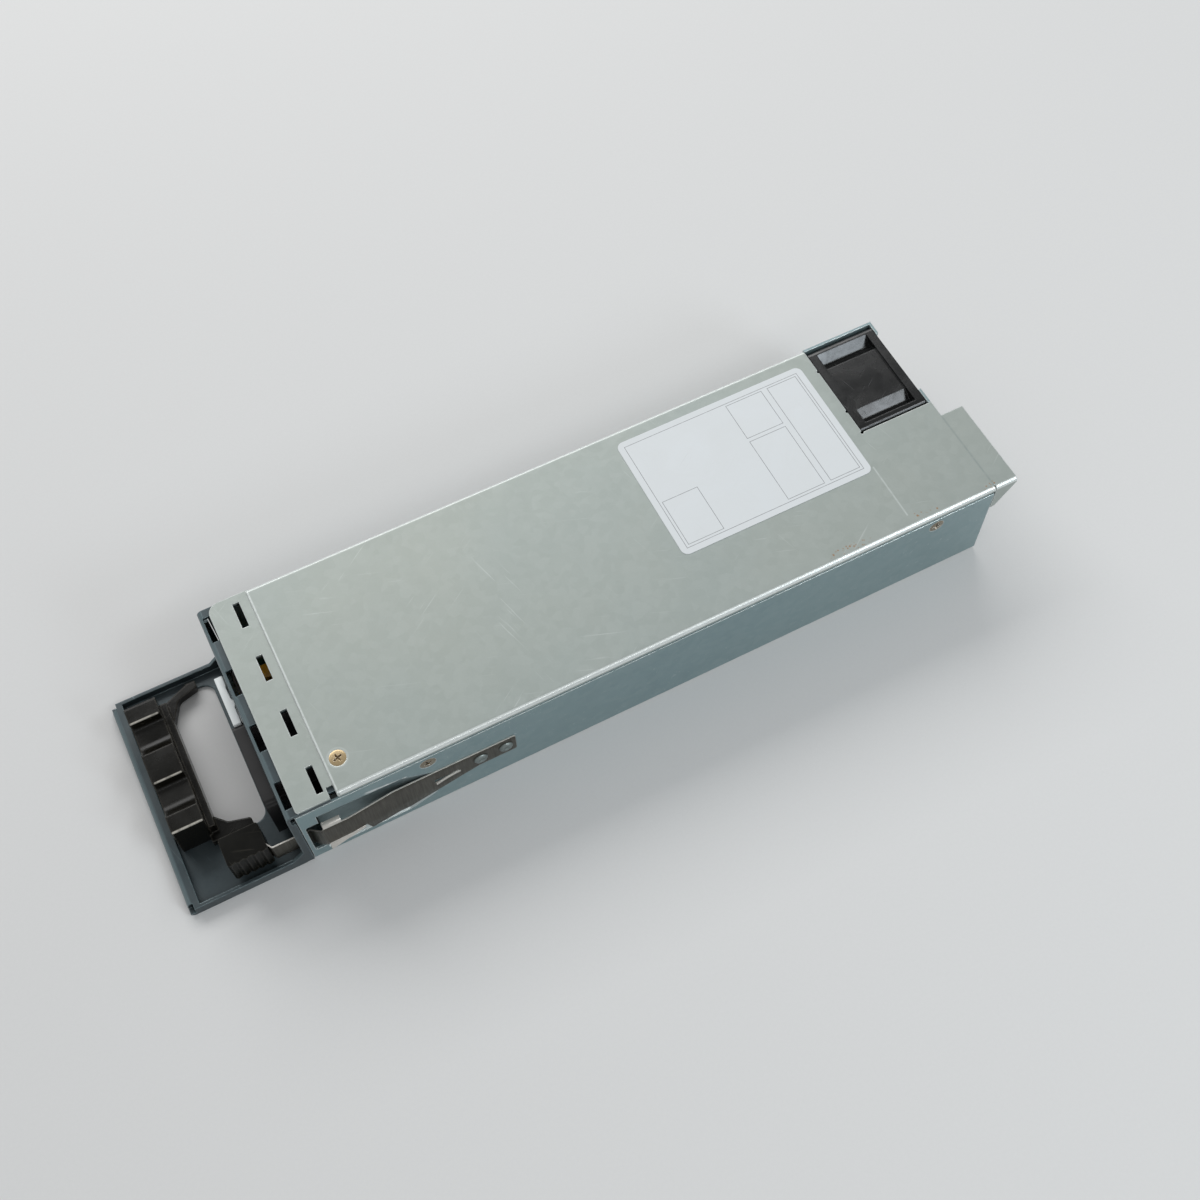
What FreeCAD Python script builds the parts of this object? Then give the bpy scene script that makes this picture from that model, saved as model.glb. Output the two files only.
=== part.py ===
import FreeCAD, Part
import math
import os
import Sketcher

# Hot swap server power supply, in millimetres.
# X runs from the rear face (x = 0) to the connector end, Y across, Z up.
# The origin is the middle of the rear face's bottom edge.

# Every size that can be set by itself: sheet alias, value, meaning.
SIZES = [
    ("case_width", 82.5, "outside width of the case"),
    ("case_height", 40.0, "outside height of the case"),
    ("case_length", 263.5, "rear face to the outside of the end wall"),
    ("steel", 1.0, "sheet thickness of the base chassis"),
    ("case_bend", 1.5, "outside radius of the chassis bends"),
    ("seat_gap", 0.1, "gap between pieces that seat on each other"),
    ("side_gap", 0.3, "gap between neighbours that do not bear"),
    ("cover_sheet", 0.9, "sheet thickness of the top cover"),
    ("cover_roll", 1.6, "outside radius of the cover's long edges"),
    ("cover_lip", 2.1, "height of the cover's rolled lip"),
    ("cover_skirt", 12.0, "height of the cover's side flanges"),
    ("strip_start", 3.75, "rear face to the edge of the vent strip"),
    ("strip_length", 14.05, "length of the vent strip"),
    ("strip_step", 0.4, "drop of the vent strip below the cover"),
    ("slot_long", 10.1, "length of a vent slot"),
    ("slot_wide", 2.3, "width of a cover vent slot"),
    ("slot_pitch", 22.0, "distance between vent slots"),
    ("slot_inset", 8.25, "strip edge to the cover vent slots"),
    ("relief_wide", 2.3, "width of the bend relief notch"),
    ("relief_deep", 4.1, "depth of the bend relief notch"),
    ("hood_length", 8.8, "overhang of the connector hood"),
    ("hood_width", 34.85, "width of the connector hood"),
    ("gusset_drop", 12.5, "height of the hood's side gusset"),
    ("nick_radius", 0.6, "radius of the relief nicks"),
    ("bezel_sheet", 1.2, "sheet thickness of the rear bezel"),
    ("bezel_bend", 2.0, "outside radius of the bezel bends"),
    ("bezel_side", 2.5, "depth of the bezel's side flanges"),
    ("bezel_side_top", 32.5, "height of the bezel's side flanges"),
    ("bezel_tongue", 27.0, "depth of the bezel's top flange"),
    ("tray_length", 40.7, "rear face to the tray's outer edge"),
    ("tray_rim", 4.6, "height of the tray's rims"),
    ("tray_lip", 4.1, "width of the tray's curled lip"),
    ("lip_short", 2.4, "gap between the lip's ends and the side rims"),
    ("finger_depth", 17.0, "size of the finger hole along X"),
    ("finger_inset", 6.0, "rear face to the finger hole"),
    ("finger_width", 57.0, "size of the finger hole across"),
    ("finger_middle", 7.5, "middle of the finger hole across"),
    ("finger_corner", 4.0, "corner radius of the finger hole"),
    ("vent_hex", 2.1, "inside radius of a rear vent hole"),
    ("vent_pitch", 5.4, "distance between rear vent holes"),
    ("grip_width", 11.0, "top width of the grip bar"),
    ("grip_height", 14.8, "height of the grip bar above the tray"),
    ("grip_far", 31.4, "far end of the grip bar across"),
    ("grip_near", 18.6, "near end of the grip bar across"),
    ("grip_pad", 6.5, "length of an end pad of the grip"),
    ("grip_scallop", 12.9, "chord of a finger scallop"),
    ("scallop_deep", 3.4, "depth of a finger scallop"),
    ("grip_ledge", 2.2, "width of the ledge beside the bar"),
    ("ledge_height", 7.5, "height of that ledge"),
    ("grip_arm", 3.4, "width of the grip's arms"),
    ("grip_arm_height", 3.4, "height of the grip's arms above the tray"),
    ("grip_reach", 13.5, "reach of the grip's arms past the bar"),
    ("leaf_sheet", 0.5, "thickness of the latch leaf"),
    ("leaf_end", 77.8, "end of the latch leaf along the case"),
    ("leaf_bend", 47.0, "line about which the latch leaf bends"),
    ("leaf_top", 24.2, "upper edge of the latch leaf"),
    ("leaf_bottom", 7.0, "lower edge of the latch leaf"),
    ("leaf_tail_top", 17.2, "upper edge of the leaf's tail"),
    ("leaf_tail_bottom", 7.6, "lower edge of the leaf's tail"),
    ("leaf_bow", 1.6, "how far the leaf stands off the wall"),
    ("leaf_tail_depth", 2.9, "wall face to the leaf's tail"),
    ("hook_depth", 4.0, "how far the leaf's end is set in from its tail"),
    ("hook_length", 2.6, "run of the slanted step to the leaf's end"),
    ("hook_entry", 1.2, "tab's front to the start of the slanted step"),
    ("leaf_radius", 1.3, "bend radius of the leaf"),
    ("anchor_top", 23.9, "upper edge of the riveted stretch"),
    ("anchor_bottom", 14.0, "lower edge of the riveted stretch"),
    ("anchor_taper", 64.0, "where the riveted stretch starts to widen"),
    ("barb_start", 9.2, "catching edge of the barb"),
    ("barb_length", 14.8, "length of the barb's ramp"),
    ("barb_drop", 1.7, "how far the barb bends out and down"),
    ("barb_root", 12.0, "height of the barb's bend line"),
    ("stop_length", 6.3, "length of the folded stop"),
    ("stop_reach", 2.0, "how far the stop folds inwards"),
    ("latch_swing", 6.0, "travel of the latch in degrees"),
    ("recess_start", 8.7, "deep end of the latch recess"),
    ("recess_deep", 5.6, "depth of the latch recess"),
    ("recess_middle", 38.0, "where the recess becomes shallow"),
    ("recess_shallow", 1.8, "depth of the recess there"),
    ("recess_end", 48.0, "shallow end of the latch recess"),
    ("recess_top", 31.5, "upper edge of the recess mouth"),
    ("recess_bottom", 3.2, "lower edge of the recess mouth"),
    ("recess_draft", 3.0, "slope of the recess walls"),
    ("window_top", 26.0, "upper edge of the latch window"),
    ("window_bottom", 6.2, "lower edge of the latch window"),
    ("window_start", 4.2, "start of the latch window"),
    ("tab_length", 13.6, "length of the thumb tab"),
    ("tab_depth", 10.4, "depth of the thumb tab"),
    ("tab_bottom", 6.0, "lower face of the thumb tab"),
    ("tab_height", 12.7, "height of the thumb tab"),
    ("tab_inset", 9.2, "rear face to the thumb tab"),
    ("tab_proud", 0.15, "how far the tab's face stands off the leaf"),
    ("rivet_first", 64.8, "first rivet along the case"),
    ("rivet_pitch", 9.2, "distance between the rivets"),
    ("rivet_high", 19.0, "height of the rivets"),
    ("rivet_head", 2.5, "radius of a rivet's head"),
    ("rivet_shank", 1.4, "radius of a rivet's shank"),
    ("rivet_dome", 1.1, "height of a rivet's head"),
    ("screw_head", 2.85, "radius of a countersunk head"),
    ("screw_shank", 1.45, "radius of a cover screw's shank"),
    ("screw_length", 5.0, "length of a cover screw"),
    ("side_screw_high", 32.4, "height of the side screws"),
    ("side_screw_first", 47.7, "first side screw along the case"),
    ("side_screw_pitch", 192.8, "distance between the side screws"),
    ("side_screw_far_pitch", 177.0, "distance between the screws of the far side"),
    ("top_screw_inset", 22.5, "rear face to the top screw"),
    ("top_screw_side", 29.7, "middle to the top screw"),
    ("fan_size", 39.6, "side of the square fan"),
    ("fan_length", 27.4, "length of the fan"),
    ("fan_flange", 3.2, "thickness of the fan's flanges"),
    ("fan_corner", 2.6, "corner radius of the fan's flanges"),
    ("fan_bore", 18.3, "radius of the fan's bore"),
    ("fan_flat", 10.0, "half width of the barrel's flats"),
    ("fan_recess", 0.9, "drop of the barrel's flats below the flanges"),
    ("fan_shoulder", 15.4, "outer edge of the barrel's shoulders"),
    ("fan_post", 3.0, "side of a corner post"),
    ("fan_hole_pitch", 32.0, "distance between the fan's holes"),
    ("fan_hole", 2.1, "radius of the fan's holes"),
    ("fan_tab_near", 6.4, "width of the end wall's near tab"),
    ("fan_tab_far", 4.6, "width of the end wall's far tab"),
    ("fan_mouth_corner", 14.0, "bottom radius of the air intake"),
    ("hub_radius", 10.4, "radius of the rotor's hub"),
    ("hub_length", 19.5, "length of the rotor's hub"),
    ("hub_wall", 1.1, "wall of the rotor's hub"),
    ("blade_count", 7, "number of rotor blades"),
    ("blade_chord", 17.5, "chord of a blade"),
    ("blade_thick", 1.1, "thickness of a blade"),
    ("blade_tip_gap", 0.6, "gap between blade tips and bore"),
    ("blade_root_pitch", 42.0, "pitch of a blade at the hub"),
    ("blade_tip_pitch", 58.0, "pitch of a blade at the tip"),
    ("motor_plate", 2.6, "thickness of the motor plate"),
    ("motor_radius", 10.8, "radius of the motor plate"),
    ("strut_width", 2.2, "width of a strut"),
    ("shaft_radius", 1.0, "radius of the rotor's shaft"),
    ("shaft_gap", 0.05, "running gap of the shaft"),
    ("bearing_tube", 2.9, "outside radius of the bearing tube"),
    ("bearing_length", 3.0, "length of a bearing"),
    ("magnet_thick", 1.0, "thickness of the magnet ring"),
    ("magnet_length", 10.0, "length of the magnet ring"),
    ("stator_radius", 6.6, "radius of the stator"),
    ("stator_length", 8.0, "length of the stator"),
    ("inlet_width", 31.3, "width of the inlet's rim"),
    ("inlet_height", 24.4, "height of the inlet's rim"),
    ("inlet_side", 15.0, "middle to the inlet"),
    ("inlet_high", 18.8, "height of the inlet"),
    ("inlet_proud", 4.3, "how far the rim stands out"),
    ("inlet_body_width", 27.0, "width of the inlet's body"),
    ("inlet_body_height", 19.8, "height of the inlet's body"),
    ("inlet_depth", 19.0, "depth of the inlet's body"),
    ("mouth_width", 24.2, "width of the inlet's mouth"),
    ("mouth_height", 16.4, "height of the inlet's mouth"),
    ("mouth_key", 4.0, "keyed corners of the inlet's mouth"),
    ("mouth_depth", 16.0, "depth of the inlet's mouth"),
    ("blade_wide", 4.0, "height of a contact blade"),
    ("blade_flat", 2.0, "thickness of a contact blade"),
    ("blade_long", 14.0, "length of a contact blade in the mouth"),
    ("blade_spread", 14.0, "distance between line and neutral"),
    ("blade_offset", 4.0, "height of the earth blade above them"),
    ("guide_length", 17.5, "length of the light guide"),
    ("guide_height", 2.4, "height of the light guide"),
    ("guide_proud", 3.4, "how far the light guide stands out"),
    ("guide_depth", 6.0, "depth of the light guide inside"),
    ("label_length", 74.9, "length of the rating label"),
    ("label_width", 51.2, "width of the rating label"),
    ("label_start", 154.8, "rear face to the rating label"),
    ("label_middle", 10.1, "middle of the rating label across"),
    ("label_thick", 0.12, "thickness of the rating label"),
    ("label_corner", 2.6, "corner radius of the rating label"),
    ("board_thick", 1.6, "thickness of the main board"),
    ("board_rise", 4.0, "height of the board standoffs"),
    ("board_margin", 1.6, "gap between board and side walls"),
    ("board_start", 7.5, "rear face to the main board"),
    ("tongue_width", 19.0, "width of the card edge tongue"),
    ("tongue_side", 17.5, "middle to the card edge tongue"),
    ("tongue_reach", 7.3, "reach of the tongue past the end wall"),
    ("standoff_radius", 2.6, "radius of a standoff"),
    ("standoff_pitch", 100.0, "distance between board fixings on the far side"),
    ("board_screw_head", 2.6, "radius of a board screw's head"),
    ("board_screw_thread", 1.4, "radius of a board screw's thread"),
    ("contact_count", 8, "contacts on one side of the tongue"),
    ("contact_pitch", 2.2, "distance between edge contacts"),
    ("contact_width", 1.5, "width of an edge contact"),
    ("contact_thick", 0.1, "thickness of an edge contact"),
    ("sheet_thick", 0.4, "thickness of the insulator sheet"),
    ("capacitor_radius", 12.5, "radius of a bulk capacitor"),
    ("capacitor_height", 29.0, "height of a bulk capacitor"),
    ("capacitor_start", 112.0, "rear face to the first bulk capacitor"),
    ("capacitor_pitch", 27.5, "distance between bulk capacitors"),
    ("capacitor_side", 22.0, "middle to the bulk capacitors"),
    ("output_radius", 4.0, "radius of an output capacitor"),
    ("output_height", 16.0, "height of an output capacitor"),
    ("core_length", 30.0, "length of the transformer core"),
    ("core_width", 28.0, "width of the transformer core"),
    ("core_height", 25.0, "height of the transformer core"),
    ("core_leg", 6.0, "thickness of the core's legs"),
    ("core_start", 168.0, "rear face to the transformer"),
    ("core_side", 19.0, "middle to the transformer"),
    ("choke_radius", 14.0, "radius of the boost choke"),
    ("choke_bore", 5.0, "bore of the boost choke"),
    ("choke_height", 15.0, "height of the boost choke"),
    ("choke_start", 96.0, "rear face to the boost choke"),
    ("choke_side", 22.0, "middle to the boost choke"),
    ("filter_radius", 11.0, "radius of the line filter choke"),
    ("filter_start", 66.0, "rear face to the line filter choke"),
    ("filter_height", 19.0, "height of the line filter choke"),
    ("film_length", 18.0, "length of the film capacitor"),
    ("film_thick", 5.0, "thickness of the film capacitor"),
    ("film_height", 25.5, "height of the film capacitor"),
    ("film_start", 6.6, "rear face to the film capacitor"),
    ("film_side", 14.0, "middle to the film capacitor"),
    ("sink_length", 58.0, "length of a heatsink"),
    ("sink_height", 29.0, "height of a heatsink"),
    ("sink_back", 2.4, "back thickness of a heatsink"),
    ("sink_fin", 6.0, "depth of a heatsink's fins"),
    ("sink_fin_thick", 1.2, "thickness of a heatsink's fins"),
    ("sink_fin_count", 6, "fins on a heatsink"),
    ("primary_start", 64.0, "rear face to the primary heatsink"),
    ("secondary_start", 160.0, "rear face to the secondary heatsink"),
    ("sink_side", 24.0, "middle to the heatsinks"),
    ("device_width", 14.0, "width of a power transistor"),
    ("device_height", 16.0, "height of a power transistor"),
    ("device_thick", 4.4, "thickness of a power transistor"),
    ("device_rise", 6.0, "board to the body of a power transistor"),
    ("device_pitch", 19.0, "distance between power transistors"),
    ("control_length", 40.0, "length of the control board"),
    ("control_height", 24.0, "height of the control board"),
    ("control_start", 118.0, "rear face to the control board"),
    ("plug_length", 8.0, "length of the fan plug"),
    ("plug_width", 5.0, "width of the fan plug"),
    ("plug_height", 7.0, "height of the fan plug"),
    ("film_corner", 0.8, "corner radius of the film capacitor"),
    ("filter_side", 6.0, "middle to the line filter choke"),
    ("core_shift", 14.0, "transformer's shift from its side measure"),
    ("winding_out", 2.2, "how far the winding stands out of the core"),
    ("winding_corner", 2.5, "corner radius of the winding"),
    ("web_run", 3.2, "run of the sloping web between a fan post and the barrel"),
    ("web_thick", 1.1, "thickness of that web"),
    ("inlet_board_edge", 1.0, "inlet's board past the inlet's body at the sides"),
    ("inlet_board_top", 2.0, "inlet's board past the inlet's body at the top"),
    ("guide_flange", 1.0, "bezel's outer face to the back of the guide's flange"),
    ("guide_lap", 0.8, "width of the guide's flange"),
    ("fixing_inset", 5.0, "board's long edges to its fixings"),
    ("fixing_rear", 6.0, "notch in the board to its last far fixing"),
    ("fixing_near", 8.0, "latch recess to the first near fixing"),
    ("fixing_end", 8.5, "end wall to the last near fixing"),
    ("recess_clear", 1.5, "play between the board and the latch recess"),
    ("board_step", 2.0, "latch recess's end to the step in the board"),
    ("standoff_floor", 1.0, "closed end of a standoff's bore"),
    ("board_screw_rise", 1.8, "height of a board screw's head"),
    ("board_screw_reach", 2.6, "length of a board screw below the board"),
    ("contact_rear", 0.6, "tongue's root to the edge contacts"),
    ("film_margin", 0.5, "insulator's edges inside the board's"),
    ("film_hole", 0.4, "play round a standoff in the insulator"),
    ("capacitor_stagger", 2.0, "shift of the first bulk capacitor across"),
    ("output_gap", 0.8, "gap between output capacitors"),
    ("output_after", 12.0, "transformer to the first output capacitor"),
    ("output_side", 12.0, "middle to the first row of output capacitors"),
    ("cut_over", 1.0, "how far a cut runs past the face it starts from"),
    ("cut_skin", 0.5, "short run past a sheet's face"),
    ("latch_slot_over", 1.2, "play above and below the leaf in its slot"),
    ("recess_end_over", 0.6, "recess above the leaf at its shallow end"),
    ("recess_end_under", 7.0, "recess below the riveted stretch at its shallow end"),
    ("recess_middle_drop", 1.0, "drop of the recess's upper edge at its middle"),
    ("window_corner", 1.0, "corner radius of the latch window"),
    ("tongue_clear", 1.0, "play beside the card edge tongue in the end wall"),
    ("slot_corner", 0.8, "corner radius of a slot in a sheet"),
    ("strip_near_corner", 1.0, "near corner radius of the vent strip"),
    ("strip_far_corner", 4.0, "far corner radius of the vent strip"),
    ("gusset_toe", 1.8, "width of the gusset at its foot"),
    ("gusset_gap", 0.2, "gap between the gusset and the rolled lip"),
    ("skirt_relief", 3.0, "how far the skirt's relief stops before the recess's end"),
    ("bezel_side_root", 4.0, "foot of the bezel's side flange above and before its bend"),
    ("bezel_side_bend", 3.0, "inner radius at the foot of the bezel's side flange"),
    ("tongue_shoulder", 2.5, "step of the bezel's top flange before the strip's end"),
    ("vent_shift", 1.2, "light guide to the first rear vent hole across"),
    ("vent_drop", 4.4, "light guide to the first row of rear vent holes"),
    ("ledge_lap", 0.7, "share of the ledge that lies past the finger hole"),
    ("grip_draft", 0.6, "spread of the grip's foot past its top"),
    ("arm_root", 6.0, "run of an arm's curved root"),
    ("arm_bend", 3.0, "inner radius of an arm's root"),
    ("arm_nose", 3.0, "run of the far arm's slanted nose"),
    ("arm_over", 1.2, "how far an arm's end lies outside the finger hole"),
    ("arm_tip", 1.4, "how far an arm's end reaches into the finger hole"),
    ("arm_overlap", 1.0, "how far the arms run into the bar"),
    ("scallop_bend", 1.6, "bend radius of a scallop's ends, as a share of its depth"),
    ("scallop_wall", 1.2, "run of a scallop's steep end"),
    ("scallop_ramp", 3.0, "run of a scallop's gentle end"),
    ("grip_corner", 1.0, "corner radius of the grip's far end"),
    ("leaf_flat", 13.0, "flat stretch of the leaf past its bend line"),
    ("flat_radius", 12.0, "bend radius at the end of that flat stretch"),
    ("bow_run", 6.0, "end of the barb's ramp to the full bow"),
    ("bow_radius", 8.0, "bend radius where the bow is reached"),
    ("barb_setback", 0.4, "barb's edge to the leaf's bend into the window"),
    ("window_lead", 0.9, "window's edge to the leaf's inner bend"),
    ("tail_lead", 3.2, "window's edge back to the flat tail"),
    ("leaf_stop_short", 3.0, "leaf's end inside the tab"),
    ("tail_shoulder", 0.5, "window's edge back to the tail's upper shoulder"),
    ("anchor_slant", 4.5, "drop of the lower edge at the bend line"),
    ("barb_notch", 1.5, "run of the notch between the barb and the leaf's lower edge"),
    ("barb_rise", 0.6, "rise of the barb's root towards its end"),
    ("tail_slant", 2.4, "window's edge to the foot of the tail's lower slant"),
    ("shoulder_drop", 2.2, "drop of the leaf's shoulder before its upper corner"),
    ("barb_fade", 0.45, "share of the barb's drop that is left at the full bow"),
    ("stop_rise", 1.4, "height of the folded stop above the leaf"),
    ("leaf_slot_low", 1.9, "middle of the riveted stretch to the leaf's slot"),
    ("leaf_slot_half", 1.1, "half width of the leaf's slot"),
    ("leaf_slot_long", 8.6, "length of the leaf's slot"),
    ("leaf_slot_start", 1.0, "bend line to the leaf's slot"),
    ("anchor_corner", 0.6, "corner radius of the leaf's end"),
    ("tab_corner", 1.0, "corner radius of the thumb tab's back"),
    ("tab_rib", 0.6, "depth of the thumb tab's ribs"),
    ("rivet_rim", 0.3, "thickness of a rivet head's rim"),
    ("rivet_tail", 0.7, "height of a rivet's tail"),
    ("tube_wall", 0.8, "wall of the bearing tube"),
    ("tube_over", 2.0, "how far the bearing tube stands past the stator"),
    ("bearing_sink", 1.4, "how far the rear bearing starts inside the motor plate"),
    ("motor_board", 1.0, "thickness of the fan's circuit board"),
    ("stator_lap", 0.6, "how far the fan's circuit board shows round the stator"),
    ("stator_arm", 1.2, "half width of a stator pole past the bearing tube"),
    ("hub_cap", 1.76, "thickness of the hub's closed end"),
    ("blade_trim", 4.0, "how far the blades are trimmed past the bore"),
    ("magnet_inset", 1.0, "hub's rim to the magnet ring"),
    ("fan_screw_rise", 1.2, "height of a fan screw's head"),
]


class Size:
    """A length that carries both its number and its spreadsheet formula."""

    def __init__(self, value, text):
        self.value = float(value)
        self.text = text

    def __add__(self, other):
        other = as_size(other)
        return Size(self.value + other.value, "(%s + %s)" % (self.text, other.text))

    def __radd__(self, other):
        return as_size(other) + self

    def __sub__(self, other):
        other = as_size(other)
        return Size(self.value - other.value, "(%s - %s)" % (self.text, other.text))

    def __rsub__(self, other):
        return as_size(other) - self

    def __mul__(self, other):
        other = as_size(other)
        return Size(self.value * other.value, "(%s * %s)" % (self.text, other.text))

    def __rmul__(self, other):
        return as_size(other) * self

    def __truediv__(self, other):
        other = as_size(other)
        return Size(self.value / other.value, "(%s / %s)" % (self.text, other.text))

    def __neg__(self):
        return Size(-self.value, "(-1 * %s)" % self.text)


def as_size(number):
    """Give a plain number the same form as a named size."""
    if isinstance(number, Size):
        return number
    return Size(number, "(%r)" % float(number))


class NamedSizes:
    """The spreadsheet of sizes; each alias is an attribute."""

    def __init__(self, doc):
        self.sheet = doc.addObject("Spreadsheet::Sheet", "Sizes")
        for row, (alias, value, meaning) in enumerate(SIZES, start=1):
            self.sheet.set("A%d" % row, meaning)
            self.sheet.set("B%d" % row, str(value))
            self.sheet.setAlias("B%d" % row, alias)
            setattr(self, alias, Size(value, "Sizes.%s" % alias))


doc = FreeCAD.newDocument("power_supply")
s = NamedSizes(doc)
doc.recompute()
nodes = []

MITRE = math.sqrt(2.0) - 1.0     # inner corner shift of a 45 degree bend
PLANES = {"XY": "XY_Plane", "XZ": "XZ_Plane", "YZ": "YZ_Plane"}


# ---------------------------------------------------------------- sketches

def fix_point(sketch, geometry, position, x, y):
    """Tie a point of a sketch to the origin by two bound distances."""
    for kind, size in (("DistanceX", x), ("DistanceY", y)):
        datum = Sketcher.Constraint(kind, -1, 1, geometry, position, size.value)
        index = sketch.addConstraint(datum)
        sketch.setExpression("Constraints[%d]" % index, size.text)


def unit(vector):
    """A vector of length one in the same direction."""
    return vector * (1.0 / vector.Length)


def corner_arc(before, corner, after, radius):
    """Tangent points, centre and turn side of a rounded corner."""
    back = unit(before - corner)
    ahead = unit(after - corner)
    half = 0.5 * math.acos(max(-1.0, min(1.0, back.dot(ahead))))
    reach = radius / math.tan(half)
    centre = corner + unit(back + ahead) * (radius / math.sin(half))
    left_turn = back.cross(ahead).z < 0
    return corner + back * reach, corner + ahead * reach, centre, left_turn


def add_arc(sketch, centre, radius, start, end, left_turn):
    """Add an arc; return its index and its first and last point numbers."""
    if not left_turn:
        start, end = end, start
    first = math.atan2(start.y - centre.y, start.x - centre.x)
    last = math.atan2(end.y - centre.y, end.x - centre.x)
    circle = Part.Circle(centre, FreeCAD.Vector(0, 0, 1), radius)
    index = sketch.addGeometry(Part.ArcOfCircle(circle, first, last))
    return (index, 1, 2) if left_turn else (index, 2, 1)


def add_outline(sketch, corners, closed=True):
    """Draw a line through corners (x, y) or (x, y, radius), all bound to the sheet."""
    count = len(corners)
    sized = [tuple(as_size(value) for value in corner) for corner in corners]
    points = [FreeCAD.Vector(c[0].value, c[1].value, 0) for c in sized]
    entries = []
    exits = []
    rounds = {}
    for i, corner in enumerate(sized):
        if len(corner) == 3:
            before = points[i - 1]
            after = points[(i + 1) % count]
            start, end, centre, left = corner_arc(before, points[i], after, corner[2].value)
            arc = add_arc(sketch, centre, corner[2].value, start, end, left)
            rounds[i] = arc
            entries.append(start)
            exits.append(end)
        else:
            entries.append(points[i])
            exits.append(points[i])
    lines = {}
    for i in range(count if closed else count - 1):
        segment = Part.LineSegment(exits[i], entries[(i + 1) % count])
        lines[i] = sketch.addGeometry(segment)
    for i, corner in enumerate(sized):
        before = lines.get((i - 1) % count)
        after = lines.get(i)
        if i in rounds:
            index, first, last = rounds[i]
            mark = sketch.addGeometry(Part.Point(points[i]), True)
            sketch.addConstraint(Sketcher.Constraint("Tangent", before, 2, index, first))
            sketch.addConstraint(Sketcher.Constraint("Tangent", index, last, after, 1))
            sketch.addConstraint(Sketcher.Constraint("PointOnObject", mark, 1, before))
            sketch.addConstraint(Sketcher.Constraint("PointOnObject", mark, 1, after))
            radius = sketch.addConstraint(Sketcher.Constraint("Radius", index, corner[2].value))
            sketch.setExpression("Constraints[%d]" % radius, corner[2].text)
            fix_point(sketch, mark, 1, corner[0], corner[1])
        elif before is None:
            fix_point(sketch, after, 1, corner[0], corner[1])
        elif after is None:
            fix_point(sketch, before, 2, corner[0], corner[1])
        else:
            sketch.addConstraint(Sketcher.Constraint("Coincident", before, 2, after, 1))
            fix_point(sketch, after, 1, corner[0], corner[1])


def add_circle(sketch, x, y, radius):
    """Draw a circle bound to the sheet."""
    x, y, radius = as_size(x), as_size(y), as_size(radius)
    centre = FreeCAD.Vector(x.value, y.value, 0)
    circle = Part.Circle(centre, FreeCAD.Vector(0, 0, 1), radius.value)
    index = sketch.addGeometry(circle)
    datum = sketch.addConstraint(Sketcher.Constraint("Radius", index, radius.value))
    sketch.setExpression("Constraints[%d]" % datum, radius.text)
    fix_point(sketch, index, 3, x, y)


def rectangle(x0, x1, y0, y1, radius=None):
    """Corners of a rectangle, rounded when a radius is given."""
    corners = [(x0, y0), (x1, y0), (x1, y1), (x0, y1)]
    if radius is None:
        return corners
    return [corner + (radius,) for corner in corners]


class Solid:
    """A PartDesign body built from padded, cut and lofted sketches."""

    def __init__(self, label):
        self.body = doc.addObject("PartDesign::Body", label)
        self.label = label
        self.cuts = []

    def name(self, kind):
        return "%s_%s" % (self.label, kind)

    def sketch(self, plane, place, outlines=(), circles=(), closed=True):
        """A sketch on an origin plane, moved to a coordinate on the plane's axis."""
        role = PLANES[plane]
        support = [f for f in self.body.Origin.OriginFeatures if f.Role == role][0]
        sketch = self.body.newObject("Sketcher::SketchObject", self.name("sketch"))
        sketch.AttachmentSupport = (support, [""])
        sketch.MapMode = "FlatFace"
        place = as_size(place)
        offset = -place if plane == "XZ" else place
        sketch.setExpression("AttachmentOffset.Base.z", offset.text)
        for outline in outlines:
            add_outline(sketch, outline, closed)
        for circle in circles:
            add_circle(sketch, *circle)
        return sketch

    def feature(self, kind, sketch):
        feature = self.body.newObject("PartDesign::" + kind, self.name(kind.lower()))
        feature.Profile = sketch
        sketch.Visibility = False
        return feature

    def span(self, kind, plane, start, end, outlines, circles):
        low, high = as_size(start), as_size(end)
        place = high if plane == "XZ" else low
        feature = self.feature(kind, self.sketch(plane, place, outlines, circles))
        feature.setExpression("Length", (high - low).text)
        return feature

    def pad(self, plane, start, end, *outlines, circles=()):
        """Add material between two coordinates on the plane's axis."""
        return self.span("Pad", plane, start, end, outlines, circles)

    def cut(self, plane, start, end, *outlines, circles=()):
        """Remove material between two coordinates on the plane's axis."""
        feature = self.span("Pocket", plane, start, end, outlines, circles)
        feature.Reversed = True
        self.cuts.append(feature)
        return feature

    def loft(self, kind, plane, sections):
        """A ruled loft through (coordinate, outline) sections."""
        sketches = [self.sketch(plane, place, [outline]) for place, outline in sections]
        feature = self.feature(kind, sketches[0])
        feature.Sections = sketches[1:]
        feature.Ruled = True
        if kind == "SubtractiveLoft":
            self.cuts.append(feature)
        return feature

    def revolve(self, plane, outline, axis="V_Axis"):
        """Turn an outline a full turn about an axis of its sketch."""
        sketch = self.sketch(plane, 0, [outline])
        feature = self.feature("Revolution", sketch)
        feature.ReferenceAxis = (sketch, [axis])
        feature.Angle = 360
        return feature

    def row(self, original, axis, pitch, count):
        """Repeat a feature in a line along an axis of its own sketch."""
        pattern = self.body.newObject("PartDesign::LinearPattern", self.name("row"))
        pattern.Originals = [original]
        pattern.Direction = (original.Profile[0], [axis])
        pattern.Mode = 1
        pattern.setExpression("Offset", as_size(pitch).text)
        pattern.setExpression("Occurrences", as_size(count).text)
        self.body.Tip = pattern
        return pattern

    def keep(self):
        """Register the body as a node of the part."""
        nodes.append(self.body)
        return self.body


# ------------------------------------------------------------- primitives

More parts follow.
